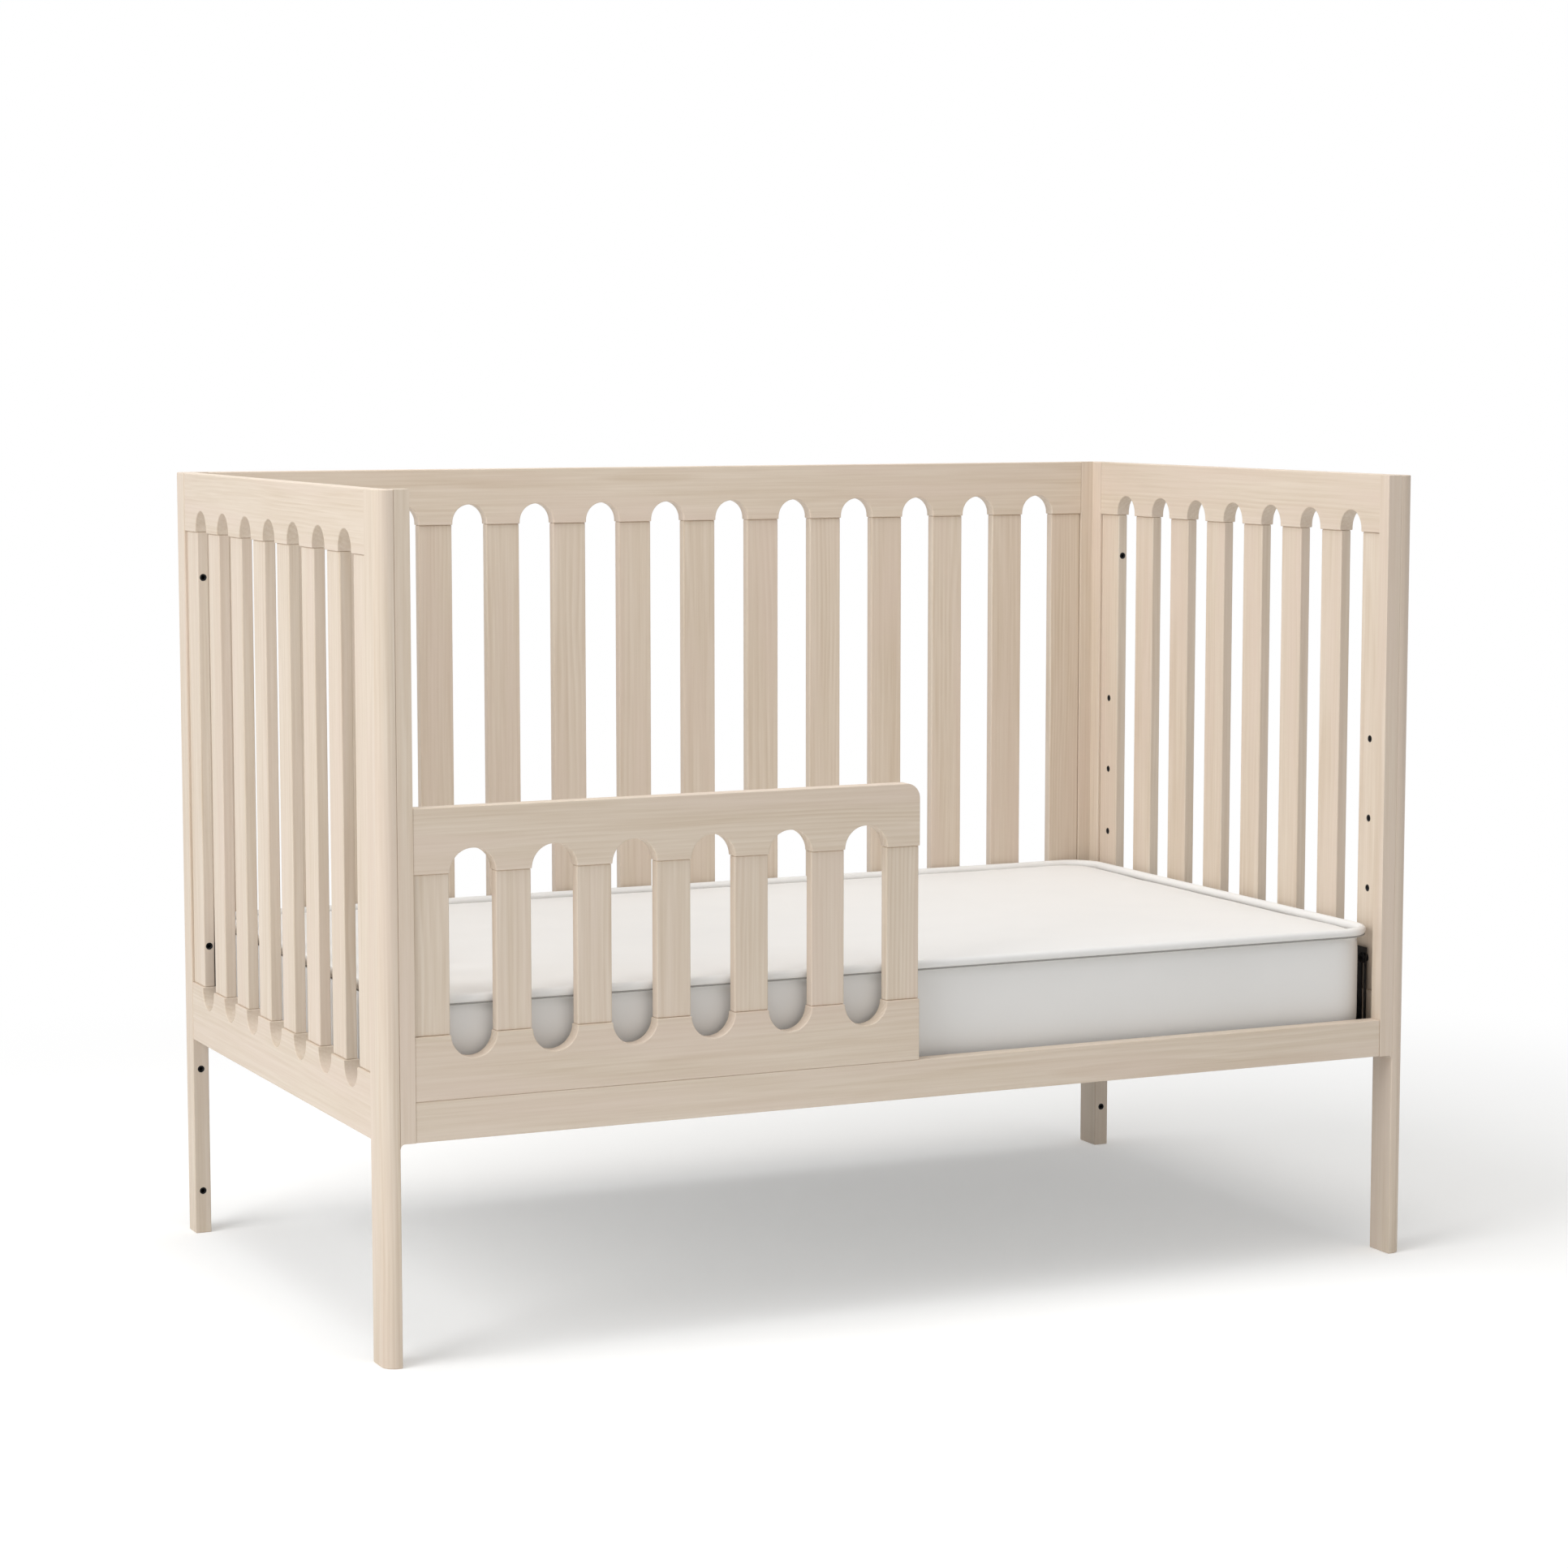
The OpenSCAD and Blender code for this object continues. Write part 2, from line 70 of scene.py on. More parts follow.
MM = 0.001
LEFT, RIGHT = "left", "right"
END_SLATS = 8
BACK_SLATS = 14
GUARD_SLATS = 7
ROUND_SIDES = 48   # sides of arches and other large round cuts
SMALL_SIDES = 24   # sides of small hardware
SHARP = math.radians(35)   # an edge that turns more than this is rounded


def srgb(code):
    """Linear colour, with alpha, of an sRGB hex code."""
    channels = [int(code[i:i + 2], 16) / 255 for i in (0, 2, 4)]
    linear = [c / 12.92 if c <= 0.04045 else ((c + 0.055) / 1.055) ** 2.4 for c in channels]
    return (*linear, 1.0)


def length(title, about, millimetres):
    """A length property given in millimetres."""
    return FloatProperty(name=title, description=about, default=millimetres * MM, min=0.0,
                         unit="LENGTH", subtype="DISTANCE")


def colour(title, about, code):
    """A colour property given as an sRGB hex code."""
    return FloatVectorProperty(name=title, description=about, default=srgb(code), size=4,
                               min=0.0, max=1.0, subtype="COLOR")


class CribWoodSizes(PropertyGroup):
    """Sizes of the wooden pieces that their boxes don't give."""
    rail_round: length("Rail edge", "Radius on the edges of the rails", 1.3)
    slat_round: length("Slat edge", "Radius on the edges of the slats", 1.6)
    leg_thickness: length("Leg thickness", "Thickness of a leg along the crib", 21)
    leg_corner: length("Leg corner", "Radius of a leg's outer corner", 16)
    block_depth: length("Block depth", "Depth of a corner block", 20.5)
    block_fillet: length("Block fillet", "Radius under a corner block", 5)
    arch_rise: length("Arch rise", "Height of the arches of the ends and the back", 27)
    tab_margin: length("Tab margin", "How far a tab stands past its slat", 0.4)
    guard_corner: length("Guard corner", "Radius of the guard's free top corner", 18)


class CribHardwareSizes(PropertyGroup):
    """Sizes of the inserts, bolts and connectors."""
    insert_diameter: length("Insert diameter", "Outer diameter of a threaded insert", 9)
    insert_length: length("Insert length", "Length of a threaded insert", 12)
    lowest_height: length("Lowest height", "Height of the lowest fixing bolts", 374)
    height_step: length("Height step", "Step between the lower fixing heights", 90)
    top_step: length("Top step", "Step up to the highest fixing height", 102)
    edge_rise: length("Edge insert rise", "Lower edge inserts above the lowest bolts", 12)
    edge_drop: length("Edge insert drop", "Upper edge inserts below the crib's top", 132)
    leg_insert_low: length("Lower leg insert", "Height of the legs' lower inserts", 56)
    leg_insert_high: length("Upper leg insert", "Height of the legs' upper inserts", 217.5)
    bolt_head: length("Bolt head", "Diameter of a support bolt's head", 14)
    bolt_collar: length("Bolt collar", "Diameter of a support bolt's collar", 11)
    bolt_thread: length("Bolt thread", "Diameter of a support bolt's thread", 6)
    cam_diameter: length("Cam diameter", "Diameter of a cam disc", 15)
    cam_depth: length("Cam depth", "Depth of a cam disc", 13)
    cam_set_back: length("Cam set-back", "From a rail's end to its cam's axis", 24)


class CribMattressSizes(PropertyGroup):
    """Sizes of the mattress's sewn details."""
    corner: length("Corner", "Radius of the corners, seen from above", 50)
    welt: length("Welt", "Diameter of the piped welt around the top", 11.5)
    # the seam's line is drawn grey as painted shade for the crease under the welt
    seam: length("Seam", "Diameter of the seam's thread line under the welt", 2.2)
    edge: length("Edge", "Radius of the top and bottom edges", 11)
    crown_cap: length("Crown cap", "Most that the filling pushes the cover out", 7)


class CribColours(PropertyGroup):
    """Colours of the finishes."""
    pine: colour("Pine", "Washed earlywood of the pine", "E3D6C6")
    pine_dark: colour("Pine latewood", "Latewood lines in the pine", "CBB8A1")
    pine_blush: colour("Pine blush", "Pinkish drift in the wash", "DCCABB")
    beech: colour("Beech", "Raw beech of the dowels", "CFAE86")
    beech_dark: colour("Beech fleck", "Flecks in the beech", "B98F62")
    cover: colour("Cover", "White cover of the mattress", "EEEDEB")
    cover_shade: colour("Cover shade", "Faint drift in the cover", "E9E8E6")
    # the seam colour is partly the thread and partly painted shade for the crease under the welt
    seam: colour("Seam", "Thread of the mattress's seam", "A6A4A0")
    black: colour("Black steel", "Powder coat and black oxide", "1C1C1E")
    zinc: colour("Zinc", "Zinc plating of wires and screws", "B9BDC1")
    casting: colour("Zinc casting", "Die-cast zinc of the cam discs", "9EA1A5")


# ---------- modelling ----------

def deselect():
    """Nothing is selected, and nothing is in edit mode."""
    if bpy.context.object and bpy.context.object.mode != "OBJECT":
        bpy.ops.object.mode_set(mode="OBJECT")
    bpy.ops.object.select_all(action="DESELECT")


def choose(*pieces):
    """Only these pieces are selected, and the first is active."""
    deselect()
    for piece in pieces:
        piece.select_set(True)
    bpy.context.view_layer.objects.active = pieces[0]


def settle(name):
    """Names the new object and moves its place, turn and size into its mesh."""
    piece = bpy.context.object
    piece.name = name
    piece.data.name = name
    bpy.ops.object.transform_apply(location=True, rotation=True, scale=True)
    return piece


def add_block(name, low, high):
    """A solid block between two corners."""
    low, high = Vector(low), Vector(high)
    deselect()
    bpy.ops.mesh.primitive_cube_add(size=1, location=(low + high) / 2)
    bpy.context.object.scale = high - low
    return settle(name)


def add_rod(name, start, end, radius, sides=SMALL_SIDES):
    """A round bar from start to end."""
    start, end = Vector(start), Vector(end)
    axis = end - start
    deselect()
    bpy.ops.mesh.primitive_cylinder_add(
        vertices=sides, radius=radius, depth=axis.length, location=(start + end) / 2,
        rotation=axis.to_track_quat("Z", "Y").to_euler())
    return settle(name)


def copy_piece(piece, name, shift=(0, 0, 0), turn=0.0):
    """A copy with its own mesh, turned about the vertical axis and then moved."""
    choose(piece)
    bpy.ops.object.duplicate(linked=False)
    copy = bpy.context.object
    copy.rotation_euler = (0, 0, turn)
    copy.location = shift
    return settle(name)


def join(pieces):
    """One object out of several."""
    choose(*pieces)
    if len(pieces) > 1:
        bpy.ops.object.join()
    return bpy.context.object


def remove(piece):
    """Deletes a helper object."""
    choose(piece)
    bpy.ops.object.delete()


def apply_modifier(piece, kind, **settings):
    """Adds a modifier with these settings and applies it."""
    choose(piece)
    modifier = piece.modifiers.new(kind.title(), kind)
    for key, value in settings.items():
        setattr(modifier, key, value)
    bpy.ops.object.modifier_apply(modifier=modifier.name)


def carve(piece, cutters):
    """Cuts these solids, which don't overlap each other, out of a piece."""
    cutter = join(cutters)
    apply_modifier(piece, "BOOLEAN", object=cutter, operation="DIFFERENCE", solver="EXACT")
    remove(cutter)
    tidy_faces(piece)


def tidy_faces(piece):
    """Merges doubled points and joins faces that lie in one plane."""
    edit(piece, "FACE", lambda p: True)
    bpy.ops.mesh.remove_doubles(threshold=0.02 * MM)
    bpy.ops.mesh.dissolve_limited(angle_limit=math.radians(0.5))
    end_edit()


def edit(piece, kind, test):
    """Opens a piece in edit mode with the faces or edges selected that pass a test."""
    choose(piece)
    bpy.ops.object.mode_set(mode="EDIT")
    bpy.ops.mesh.select_mode(type=kind)
    bpy.ops.mesh.select_all(action="DESELECT")
    bpy.ops.object.mode_set(mode="OBJECT")
    mesh = piece.data
    for item in mesh.polygons if kind == "FACE" else mesh.edges:
        item.select = test([mesh.vertices[i].co for i in item.vertices])
    bpy.ops.object.mode_set(mode="EDIT")


def end_edit():
    """Back to object mode."""
    bpy.ops.object.mode_set(mode="OBJECT")


def same(points, axis, value):
    """Whether all the points lie at this value on an axis."""
    return all(abs(p[axis] - value) < 0.01 * MM for p in points)


def round_edges(piece, width, segments=3):
    """Small radii on all sharp edges, with flat faces that stay flat to the light."""
    choose(piece)
    bpy.ops.object.shade_smooth()
    apply_modifier(piece, "BEVEL", width=width, segments=segments, limit_method="ANGLE",
                   angle_limit=SHARP, harden_normals=True)


def shade(piece):
    """Smooth shading in which the large faces keep their own direction."""
    choose(piece)
    bpy.ops.object.shade_smooth()
    apply_modifier(piece, "WEIGHTED_NORMAL", mode="FACE_AREA", weight=80)


def finish(piece, material, body, nodes):
    """Gives a finished piece its material, its body and the nodes it stands for."""
    piece.data.materials.clear()
    piece.data.materials.append(material)
    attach(piece, body)
    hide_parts(*nodes)


# ---------- materials ----------

def new_material(name):
    """A new node material, its node tree and its surface shader."""
    material = bpy.data.materials.new(name)
    material.use_nodes = True
    tree = material.node_tree
    return material, tree, tree.nodes["Principled BSDF"]


def feed(tree, socket, value):
    """Gives a socket a value, or links it to a socket or to a node's first output in use."""
    if isinstance(value, bpy.types.Node):
        value = next(output for output in value.outputs if output.enabled)
    if isinstance(value, bpy.types.NodeSocket):
        tree.links.new(value, socket)
    else:
        socket.default_value = value


def add(tree, kind, settings=None, **inputs):
    """Adds a node. Inputs are named with _ for a space, or in_0, in_1 by their place."""
    node = tree.nodes.new(kind)
    for key, value in (settings or {}).items():
        setattr(node, key, value)
    for key, value in inputs.items():
        name = key.replace("_", " ")
        place = int(name[3:]) if name.startswith("in ") else name
        feed(tree, node.inputs[place], value)
    return node


PLUS = {"operation": "ADD"}
MINUS = {"operation": "SUBTRACT"}
TIMES = {"operation": "MULTIPLY"}
TIMES_PLUS = {"operation": "MULTIPLY_ADD"}
OVER = {"operation": "DIVIDE"}
GREATER = {"operation": "MAXIMUM"}
TINT = {"data_type": "RGBA"}        # a Mix node's factor is input 0, its colours 6 and 7
SMOOTH = {"interpolation_type": "SMOOTHSTEP"}

GRAIN_TURN = {"x": (0, -math.pi / 2, 0), "y": (math.pi / 2, 0, 0), "z": (0, 0, 0)}
RING_SPACING = 5.5 * MM    # growth rings as they cross a face of slow-grown pine
STREAK_WIDTH = 11 * MM     # soft streaks in the wash
FIBRE_WIDTH = 2.6 * MM     # fibres, drawn about four times as wide as real ones to show
RING_WANDER = 22 * MM      # how far a ring strays along a board


def pine(axis, tones):
    """Pine, washed pale and sealed with a matt lacquer: soft growth rings and fine straight
    fibres along the board, faint pinkish drift, and a dull even sheen."""
    material, tree, surface = new_material("washed_pine_grain_" + axis)
    place = add(tree, "ShaderNodeTexCoord").outputs["Object"]
    board = add(tree, "ShaderNodeAttribute", {"attribute_name": "board"}).outputs["Vector"]
    log = add(tree, "ShaderNodeVectorMath", PLUS, in_0=place, in_1=board)
    log = add(tree, "ShaderNodeMapping", None, Vector=log, Rotation=GRAIN_TURN[axis])

    def stretched(width, along, detail):
        """Noise that is width across the grain and along times longer with it."""
        scale = (1 / width, 1 / width, 1 / (width * along))
        long = add(tree, "ShaderNodeMapping", None, Vector=log, Scale=scale)
        return add(tree, "ShaderNodeTexNoise", None, Vector=long, Scale=1.0, Detail=detail,
                   Roughness=0.55)

    wander = stretched(60 * MM, 9, 2.0).outputs["Color"]
    shift = add(tree, "ShaderNodeVectorMath", MINUS, in_0=wander, in_1=(0.5, 0.5, 0.5))
    shift = add(tree, "ShaderNodeVectorMath", TIMES, in_0=shift,
                in_1=(RING_WANDER, RING_WANDER, 0))
    flat = add(tree, "ShaderNodeVectorMath", TIMES_PLUS, in_0=log, in_1=(1, 1, 0), in_2=shift)
    radius = add(tree, "ShaderNodeVectorMath", {"operation": "LENGTH"}, in_0=flat)
    ring = add(tree, "ShaderNodeMath", OVER, in_0=radius.outputs["Value"], in_1=RING_SPACING)
    ring = add(tree, "ShaderNodeMath", {"operation": "FRACT"}, in_0=ring)
    # a ring darkens slowly through the summer and ends sharply
    summer = add(tree, "ShaderNodeMapRange", SMOOTH, Value=ring, From_Min=0.05, From_Max=0.82)
    winter = add(tree, "ShaderNodeMapRange", None, Value=ring, From_Min=0.82, To_Min=1.0,
                 To_Max=0.05)
    ring = add(tree, "ShaderNodeMath", TIMES, in_0=summer, in_1=winter)
    strength = add(tree, "ShaderNodeMapRange", None, Value=stretched(30 * MM, 14, 1.0),
                   From_Min=0.35, From_Max=0.7, To_Min=0.15)
    ring = add(tree, "ShaderNodeMath", TIMES, in_0=ring, in_1=strength)
    streak = add(tree, "ShaderNodeMapRange", None, Value=stretched(STREAK_WIDTH, 30, 2.0),
                 From_Min=0.3, From_Max=0.75, To_Max=0.28)
    fibre = stretched(FIBRE_WIDTH, 45, 3.0)
    thread = add(tree, "ShaderNodeMapRange", None, Value=fibre, From_Min=0.35, From_Max=0.75,
                 To_Max=0.36)
    tone = add(tree, "ShaderNodeMath", TIMES_PLUS, in_0=ring, in_1=0.32, in_2=streak)
    tone = add(tree, "ShaderNodeMath", PLUS, in_0=tone, in_1=thread)
    drift = add(tree, "ShaderNodeTexWhiteNoise", None, Vector=board).outputs["Value"]
    tone = add(tree, "ShaderNodeMath", TIMES_PLUS, in_0=drift, in_1=0.16, in_2=tone)
    wash = add(tree, "ShaderNodeMix", TINT, in_0=tone, in_6=tones.pine, in_7=tones.pine_dark)
    blush = add(tree, "ShaderNodeMapRange", None, Value=stretched(45 * MM, 7, 1.0),
                From_Min=0.42, From_Max=0.7, To_Max=0.55)
    wash = add(tree, "ShaderNodeMix", TINT, in_0=blush, in_6=wash, in_7=tones.pine_blush)
    feed(tree, surface.inputs["Base Color"], wash)
    grain = add(tree, "ShaderNodeMath", TIMES_PLUS, in_0=ring, in_1=-0.5, in_2=fibre)
    bump = add(tree, "ShaderNodeBump", None, Height=grain, Strength=0.22, Distance=0.25 * MM)
    feed(tree, surface.inputs["Normal"], bump)
    gloss = add(tree, "ShaderNodeMath", TIMES_PLUS, in_0=fibre, in_1=0.12, in_2=0.47)
    feed(tree, surface.inputs["Roughness"], gloss)
    surface.inputs["IOR"].default_value = 1.5
    return material


def beech(tones):
    """Raw turned beech: short darker flecks along the dowel and a dry, matt face."""
    material, tree, surface = new_material("raw_beech")
    place = add(tree, "ShaderNodeTexCoord").outputs["Object"]
    scale = (1 / (9 * MM), 1 / (1.2 * MM), 1 / (1.2 * MM))   # 9 mm long flecks, 1.2 mm wide
    long = add(tree, "ShaderNodeMapping", None, Vector=place, Scale=scale)
    fleck = add(tree, "ShaderNodeTexNoise", None, Vector=long, Scale=1.0, Detail=3.0)
    fleck = add(tree, "ShaderNodeMapRange", None, Value=fleck, From_Min=0.5, From_Max=0.7)
    tone = add(tree, "ShaderNodeMix", TINT, in_0=fleck, in_6=tones.beech, in_7=tones.beech_dark)
    feed(tree, surface.inputs["Base Color"], tone)
    surface.inputs["Roughness"].default_value = 0.7
    return material


def cover_cloth(name, tones, thread):
    """Closely woven white cotton with a wipe-clean finish: an even weave, a faint drift in
    the white and a soft sheen at glancing angles."""
    material, tree, surface = new_material(name)
    place = add(tree, "ShaderNodeTexCoord").outputs["Object"]
    drift = add(tree, "ShaderNodeTexNoise", None, Vector=place, Scale=1 / 0.12, Detail=2.0)
    tone = add(tree, "ShaderNodeMix", TINT, in_0=drift, in_6=tones.cover, in_7=tones.cover_shade)
    feed(tree, surface.inputs["Base Color"], tone)
    weave = 0.0
    for direction in ("X", "Y", "Z"):
        settings = {"wave_type": "BANDS", "bands_direction": direction}
        # a wave's period in metres is 2 pi over 20 times its scale
        wave = add(tree, "ShaderNodeTexWave", settings, Vector=place,
                   Scale=2 * math.pi / (20 * thread), Distortion=0.4, Detail=1.0)
        weave = add(tree, "ShaderNodeMath", PLUS, in_0=wave.outputs["Fac"], in_1=weave)
    bump = add(tree, "ShaderNodeBump", None, Height=weave, Strength=0.12, Distance=0.15 * MM)
    feed(tree, surface.inputs["Normal"], bump)
    gloss = add(tree, "ShaderNodeMapRange", None, Value=drift, From_Min=0.3, From_Max=0.7,
                To_Min=0.62, To_Max=0.7)
    feed(tree, surface.inputs["Roughness"], gloss)
    surface.inputs["Sheen Weight"].default_value = 0.12
    surface.inputs["Sheen Roughness"].default_value = 0.4
    return material


def seam_thread(tones):
    """Grey polyester thread sunk in a seam: twisted strands, dull. Its grey is partly painted shade
    for the crease under the welt.
    """
    material, tree, surface = new_material("seam_thread")
    place = add(tree, "ShaderNodeTexCoord").outputs["Object"]
    strand = add(tree, "ShaderNodeTexNoise", None, Vector=place, Scale=1 / (3 * MM), Detail=1.0)
    dark = tuple(c * 0.8 for c in tones.seam[:3]) + (1.0,)
    tone = add(tree, "ShaderNodeMix", TINT, in_0=strand, in_6=tones.seam, in_7=dark)
    feed(tree, surface.inputs["Base Color"], tone)
    surface.inputs["Roughness"].default_value = 0.85
    return material


def coated_steel(name, base, metallic, roughness, grit, depth):
    """Metal under a thin coat or bare: satin, with the fine grit of its skin in its gloss."""
    material, tree, surface = new_material(name)
    place = add(tree, "ShaderNodeTexCoord").outputs["Object"]
    noise = add(tree, "ShaderNodeTexNoise", None, Vector=place, Scale=1 / grit, Detail=3.0)
    gloss = add(tree, "ShaderNodeMapRange", None, Value=noise, From_Min=0.3, From_Max=0.7,
                To_Min=roughness - 0.07, To_Max=roughness + 0.07)
    feed(tree, surface.inputs["Roughness"], gloss)
    worn = tuple(min(1.0, c * 1.25 + 0.004) for c in base[:3]) + (1.0,)
    tone = add(tree, "ShaderNodeMix", TINT, in_0=noise, in_6=tuple(base), in_7=worn)
    feed(tree, surface.inputs["Base Color"], tone)
    bump = add(tree, "ShaderNodeBump", None, Height=noise, Strength=0.3, Distance=depth)
    feed(tree, surface.inputs["Normal"], bump)
    surface.inputs["Metallic"].default_value = metallic
    return material


def build_materials():
    """Every finish of the crib, by name."""
    tones = bpy.context.scene.crib_colours
    for axis in GRAIN_TURN:
        pine(axis, tones)
    beech(tones)
    cover_cloth("woven_cotton_cover", tones, 1.6 * MM)
    seam_thread(tones)
    coated_steel("powder_coated_steel", tones.black, 0.0, 0.42, 1.5 * MM, 0.05 * MM)
    coated_steel("black_oxide_steel", tones.black, 0.7, 0.5, 1.0 * MM, 0.02 * MM)
    coated_steel("zinc_plated_steel", tones.zinc, 1.0, 0.34, 3 * MM, 0.02 * MM)
    coated_steel("die_cast_zinc", tones.casting, 1.0, 0.45, 0.8 * MM, 0.06 * MM)


def material(name):
    """A finish that build_materials has made."""
    return bpy.data.materials[name]


PITH = (35 * MM, 120 * MM)   # how far from the log's heart a board is sawn


def finish_board(piece, axis, nodes):
    """A finished pine board whose grain runs along an axis, sawn from its own place in a log."""
    chance = random.Random(piece.name)
    low = Vector([min(v.co[i] for v in piece.data.vertices) for i in range(3)])
    high = Vector([max(v.co[i] for v in piece.data.vertices) for i in range(3)])
    angle = chance.uniform(0, 2 * math.pi)
    distance = chance.uniform(*PITH)
    offset = [distance * math.cos(angle), distance * math.sin(angle)]
    offset.insert("xyz".index(axis), chance.uniform(1, 9))
    board = Vector(offset) - (low + high) / 2
    layer = piece.data.attributes.new("board", "FLOAT_VECTOR", "POINT")
    layer.data.foreach_set("vector", list(board) * len(piece.data.vertices))
    finish(piece, material("washed_pine_grain_" + axis), "crib", nodes)


# ---------- wooden pieces ----------

def span_of(node, axis):
    """A node's length along an axis."""
    low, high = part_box(node)
    return high[axis] - low[axis]


def centre_of(node):
    """The middle of a node's box."""
    low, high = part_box(node)
    return (low + high) / 2


def fixing_heights(sizes):
    """Heights of the four rows of inserts for the mattress support."""
    low, step = sizes.lowest_height, sizes.height_step
    return [low, low + step, low + 2 * step, low + 2 * step + sizes.top_step]


def insert_mouths(sizes):
    """(node, mouth, direction out of the mouth) of every threaded insert."""
    top = cad_box[1].z
    mouths = []
    for side in (LEFT, RIGHT):
        inwards = 1 if side == LEFT else -1
        for row, number in ((-1, 1), (1, END_SLATS)):
            slat = f"{side}_slat_{number}"
            middle = centre_of(slat)
            low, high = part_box(slat)
            face = high.x if side == LEFT else low.x
            edge = high.y if row < 0 else low.y
            for z in fixing_heights(sizes):
                mouths.append((slat, Vector((face, middle.y, z)), Vector((inwards, 0, 0))))
            for z in (sizes.lowest_height + sizes.edge_rise, top - sizes.edge_drop):
                mouths.append((slat, Vector((middle.x, edge, z)), Vector((0, -row, 0))))
            leg = f"{side}_{'front' if row < 0 else 'back'}_leg"
            low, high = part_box(leg)
            edge = high.y if row < 0 else low.y
            for z in (sizes.leg_insert_low, sizes.leg_insert_high):
                mouths.append((leg, Vector((middle.x, edge, z)), Vector((0, -row, 0))))
    return mouths


def carve_inserts(piece, node, sizes):
    """Bores a piece for the inserts that it holds."""
    bores = []
    for owner, mouth, way in insert_mouths(sizes):
        if owner == node:
            bores.append(add_rod("bore", mouth - way * (sizes.insert_length + MM), mouth + way * MM,
                                 sizes.insert_diameter / 2 + 0.15 * MM, ROUND_SIDES // 2))
    if bores:
        carve(piece, bores)


class CRIB_OT_legs(Operator):
    """Models the four legs and the block glued into each corner"""
    bl_idname = "crib.legs"
    bl_label = "Legs"

    def execute(self, context):
        wood = context.scene.crib_wood
        for side in (LEFT, RIGHT):
            for end in ("front", "back"):
                name = f"{side}_{end}_leg"
                low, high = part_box(name)
                self.leg(name, side, end, low, high, wood)
                self.block(name, side, end, low, high, wood)
        return {"FINISHED"}

    def leg(self, name, side, end, low, high, wood):
        """The leg itself, with its outer corner rounded."""
        outer, inner = (low.x, low.x + wood.leg_thickness)
        if side == RIGHT:
            outer, inner = (high.x, high.x - wood.leg_thickness)
        corner = low.y if end == "front" else high.y
        piece = add_block(name + "_post", (min(outer, inner), low.y, low.z),
                          (max(outer, inner), high.y, high.z))
        edit(piece, "EDGE", lambda p: same(p, 0, outer) and same(p, 1, corner))
        bpy.ops.mesh.bevel(offset=wood.leg_corner, segments=14, affect="EDGES", profile=0.5)
        end_edit()
        round_edges(piece, wood.rail_round)
        carve_inserts(piece, name, bpy.context.scene.crib_hardware)
        shade(piece)
        finish_board(piece, "z", [name])

    def block(self, name, side, end, low, high, wood):
        """The corner block, with a small fillet under it."""
        near, far = (low.x + wood.leg_thickness, high.x)
        if side == RIGHT:
            near, far = (high.x - wood.leg_thickness, low.x)
        front, rear = (low.y, low.y + wood.block_depth)
        if end == "back":
            front, rear = (high.y - wood.block_depth, high.y)
        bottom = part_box("front_bar")[0].z
        piece = add_block(name + "_block", (min(near, far), front, bottom),
                          (max(near, far), rear, high.z))
        foot = add_block("foot", (min(near, far), front, bottom - wood.block_fillet),
                         (max(near, far), rear, bottom + MM))
        way = 1 if side == LEFT else -1
        hollow = Vector((near + way * wood.block_fillet, 0, bottom - wood.block_fillet))
        reach = Vector((0, MM, 0))
        scoop = add_rod("scoop", hollow + Vector((0, front, 0)) - reach,
                        hollow + Vector((0, rear, 0)) + reach, wood.block_fillet, ROUND_SIDES)
        past = add_block("past", (min(hollow.x, far) - (MM if way < 0 else 0), front - MM,
                                  bottom - 2 * wood.block_fillet),
                         (max(hollow.x, far) + (MM if way > 0 else 0), rear + MM, bottom))
        carve(foot, [scoop])
        carve(foot, [past])
        apply_modifier(piece, "BOOLEAN", object=foot, operation="UNION", solver="EXACT")
        remove(foot)
        round_edges(piece, wood.rail_round * 0.6)
        finish_board(piece, "z", [name])


def add_arch(centre, radius, thickness, reach, way):
    """A cutter with a round end: half a cylinder across a rail, drawn out past its edge."""
    half = Vector((0, thickness, 0))
    arch = add_rod("arch", centre - half, centre + half, radius, ROUND_SIDES)
    edit(arch, "FACE", lambda p: True)
    bpy.ops.mesh.bisect(plane_co=centre, plane_no=(0, 0, way), use_fill=True, clear_outer=True)
    end_edit()
    edit(arch, "FACE", lambda p: same(p, 2, centre.z))
    bpy.ops.mesh.extrude_region_move(TRANSFORM_OT_translate={"value": (0, 0, way * reach)})
    end_edit()
    return arch


def arched_rail(name, span, thickness, height, slats, slat_width, rise, opens_up):
    """A rail along X about the origin, its underside at z = 0, with arches between its tabs."""
    tab = slat_width + 2 * bpy.context.scene.crib_wood.tab_margin
    gap = (span - slats * tab) / (slats - 1)
    radius = gap / 2
    straight = max(0.0, rise - radius)
    way = 1 if opens_up else -1
    crown = height - straight if opens_up else straight
    rail = add_block(name, (-span / 2, -thickness / 2, 0), (span / 2, thickness / 2, height))
    first = add_arch(Vector((-span / 2 + tab + radius, 0, crown)), radius, thickness,
                     straight + 5 * MM, way)
    arches = [first]
    for i in range(1, slats - 1):
        arches.append(copy_piece(first, "arch", (i * (tab + gap), 0, 0)))
    carve(rail, arches)
    return rail


def cam_places(rail, both_ends, height):
    """Middles of the cams' mouths on a long rail's rear face."""
    sizes = bpy.context.scene.crib_hardware
    low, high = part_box(rail)
    places = [Vector((low.x + sizes.cam_set_back, high.y, height))]
    if both_ends:
        places.append(Vector((high.x - sizes.cam_set_back, high.y, height)))
    return places


# (rail, cams at both ends, cam's height above the rail's underside in millimetres)
CAM_RAILS = (
    ("back_top_rail", True, 44.0),
    ("back_lower_rail", True, 30.0),
    ("front_bar", True, 17.0),
    ("guard_lower_rail", False, 22.0),
    ("guard_top_rail", False, 50.0),
)


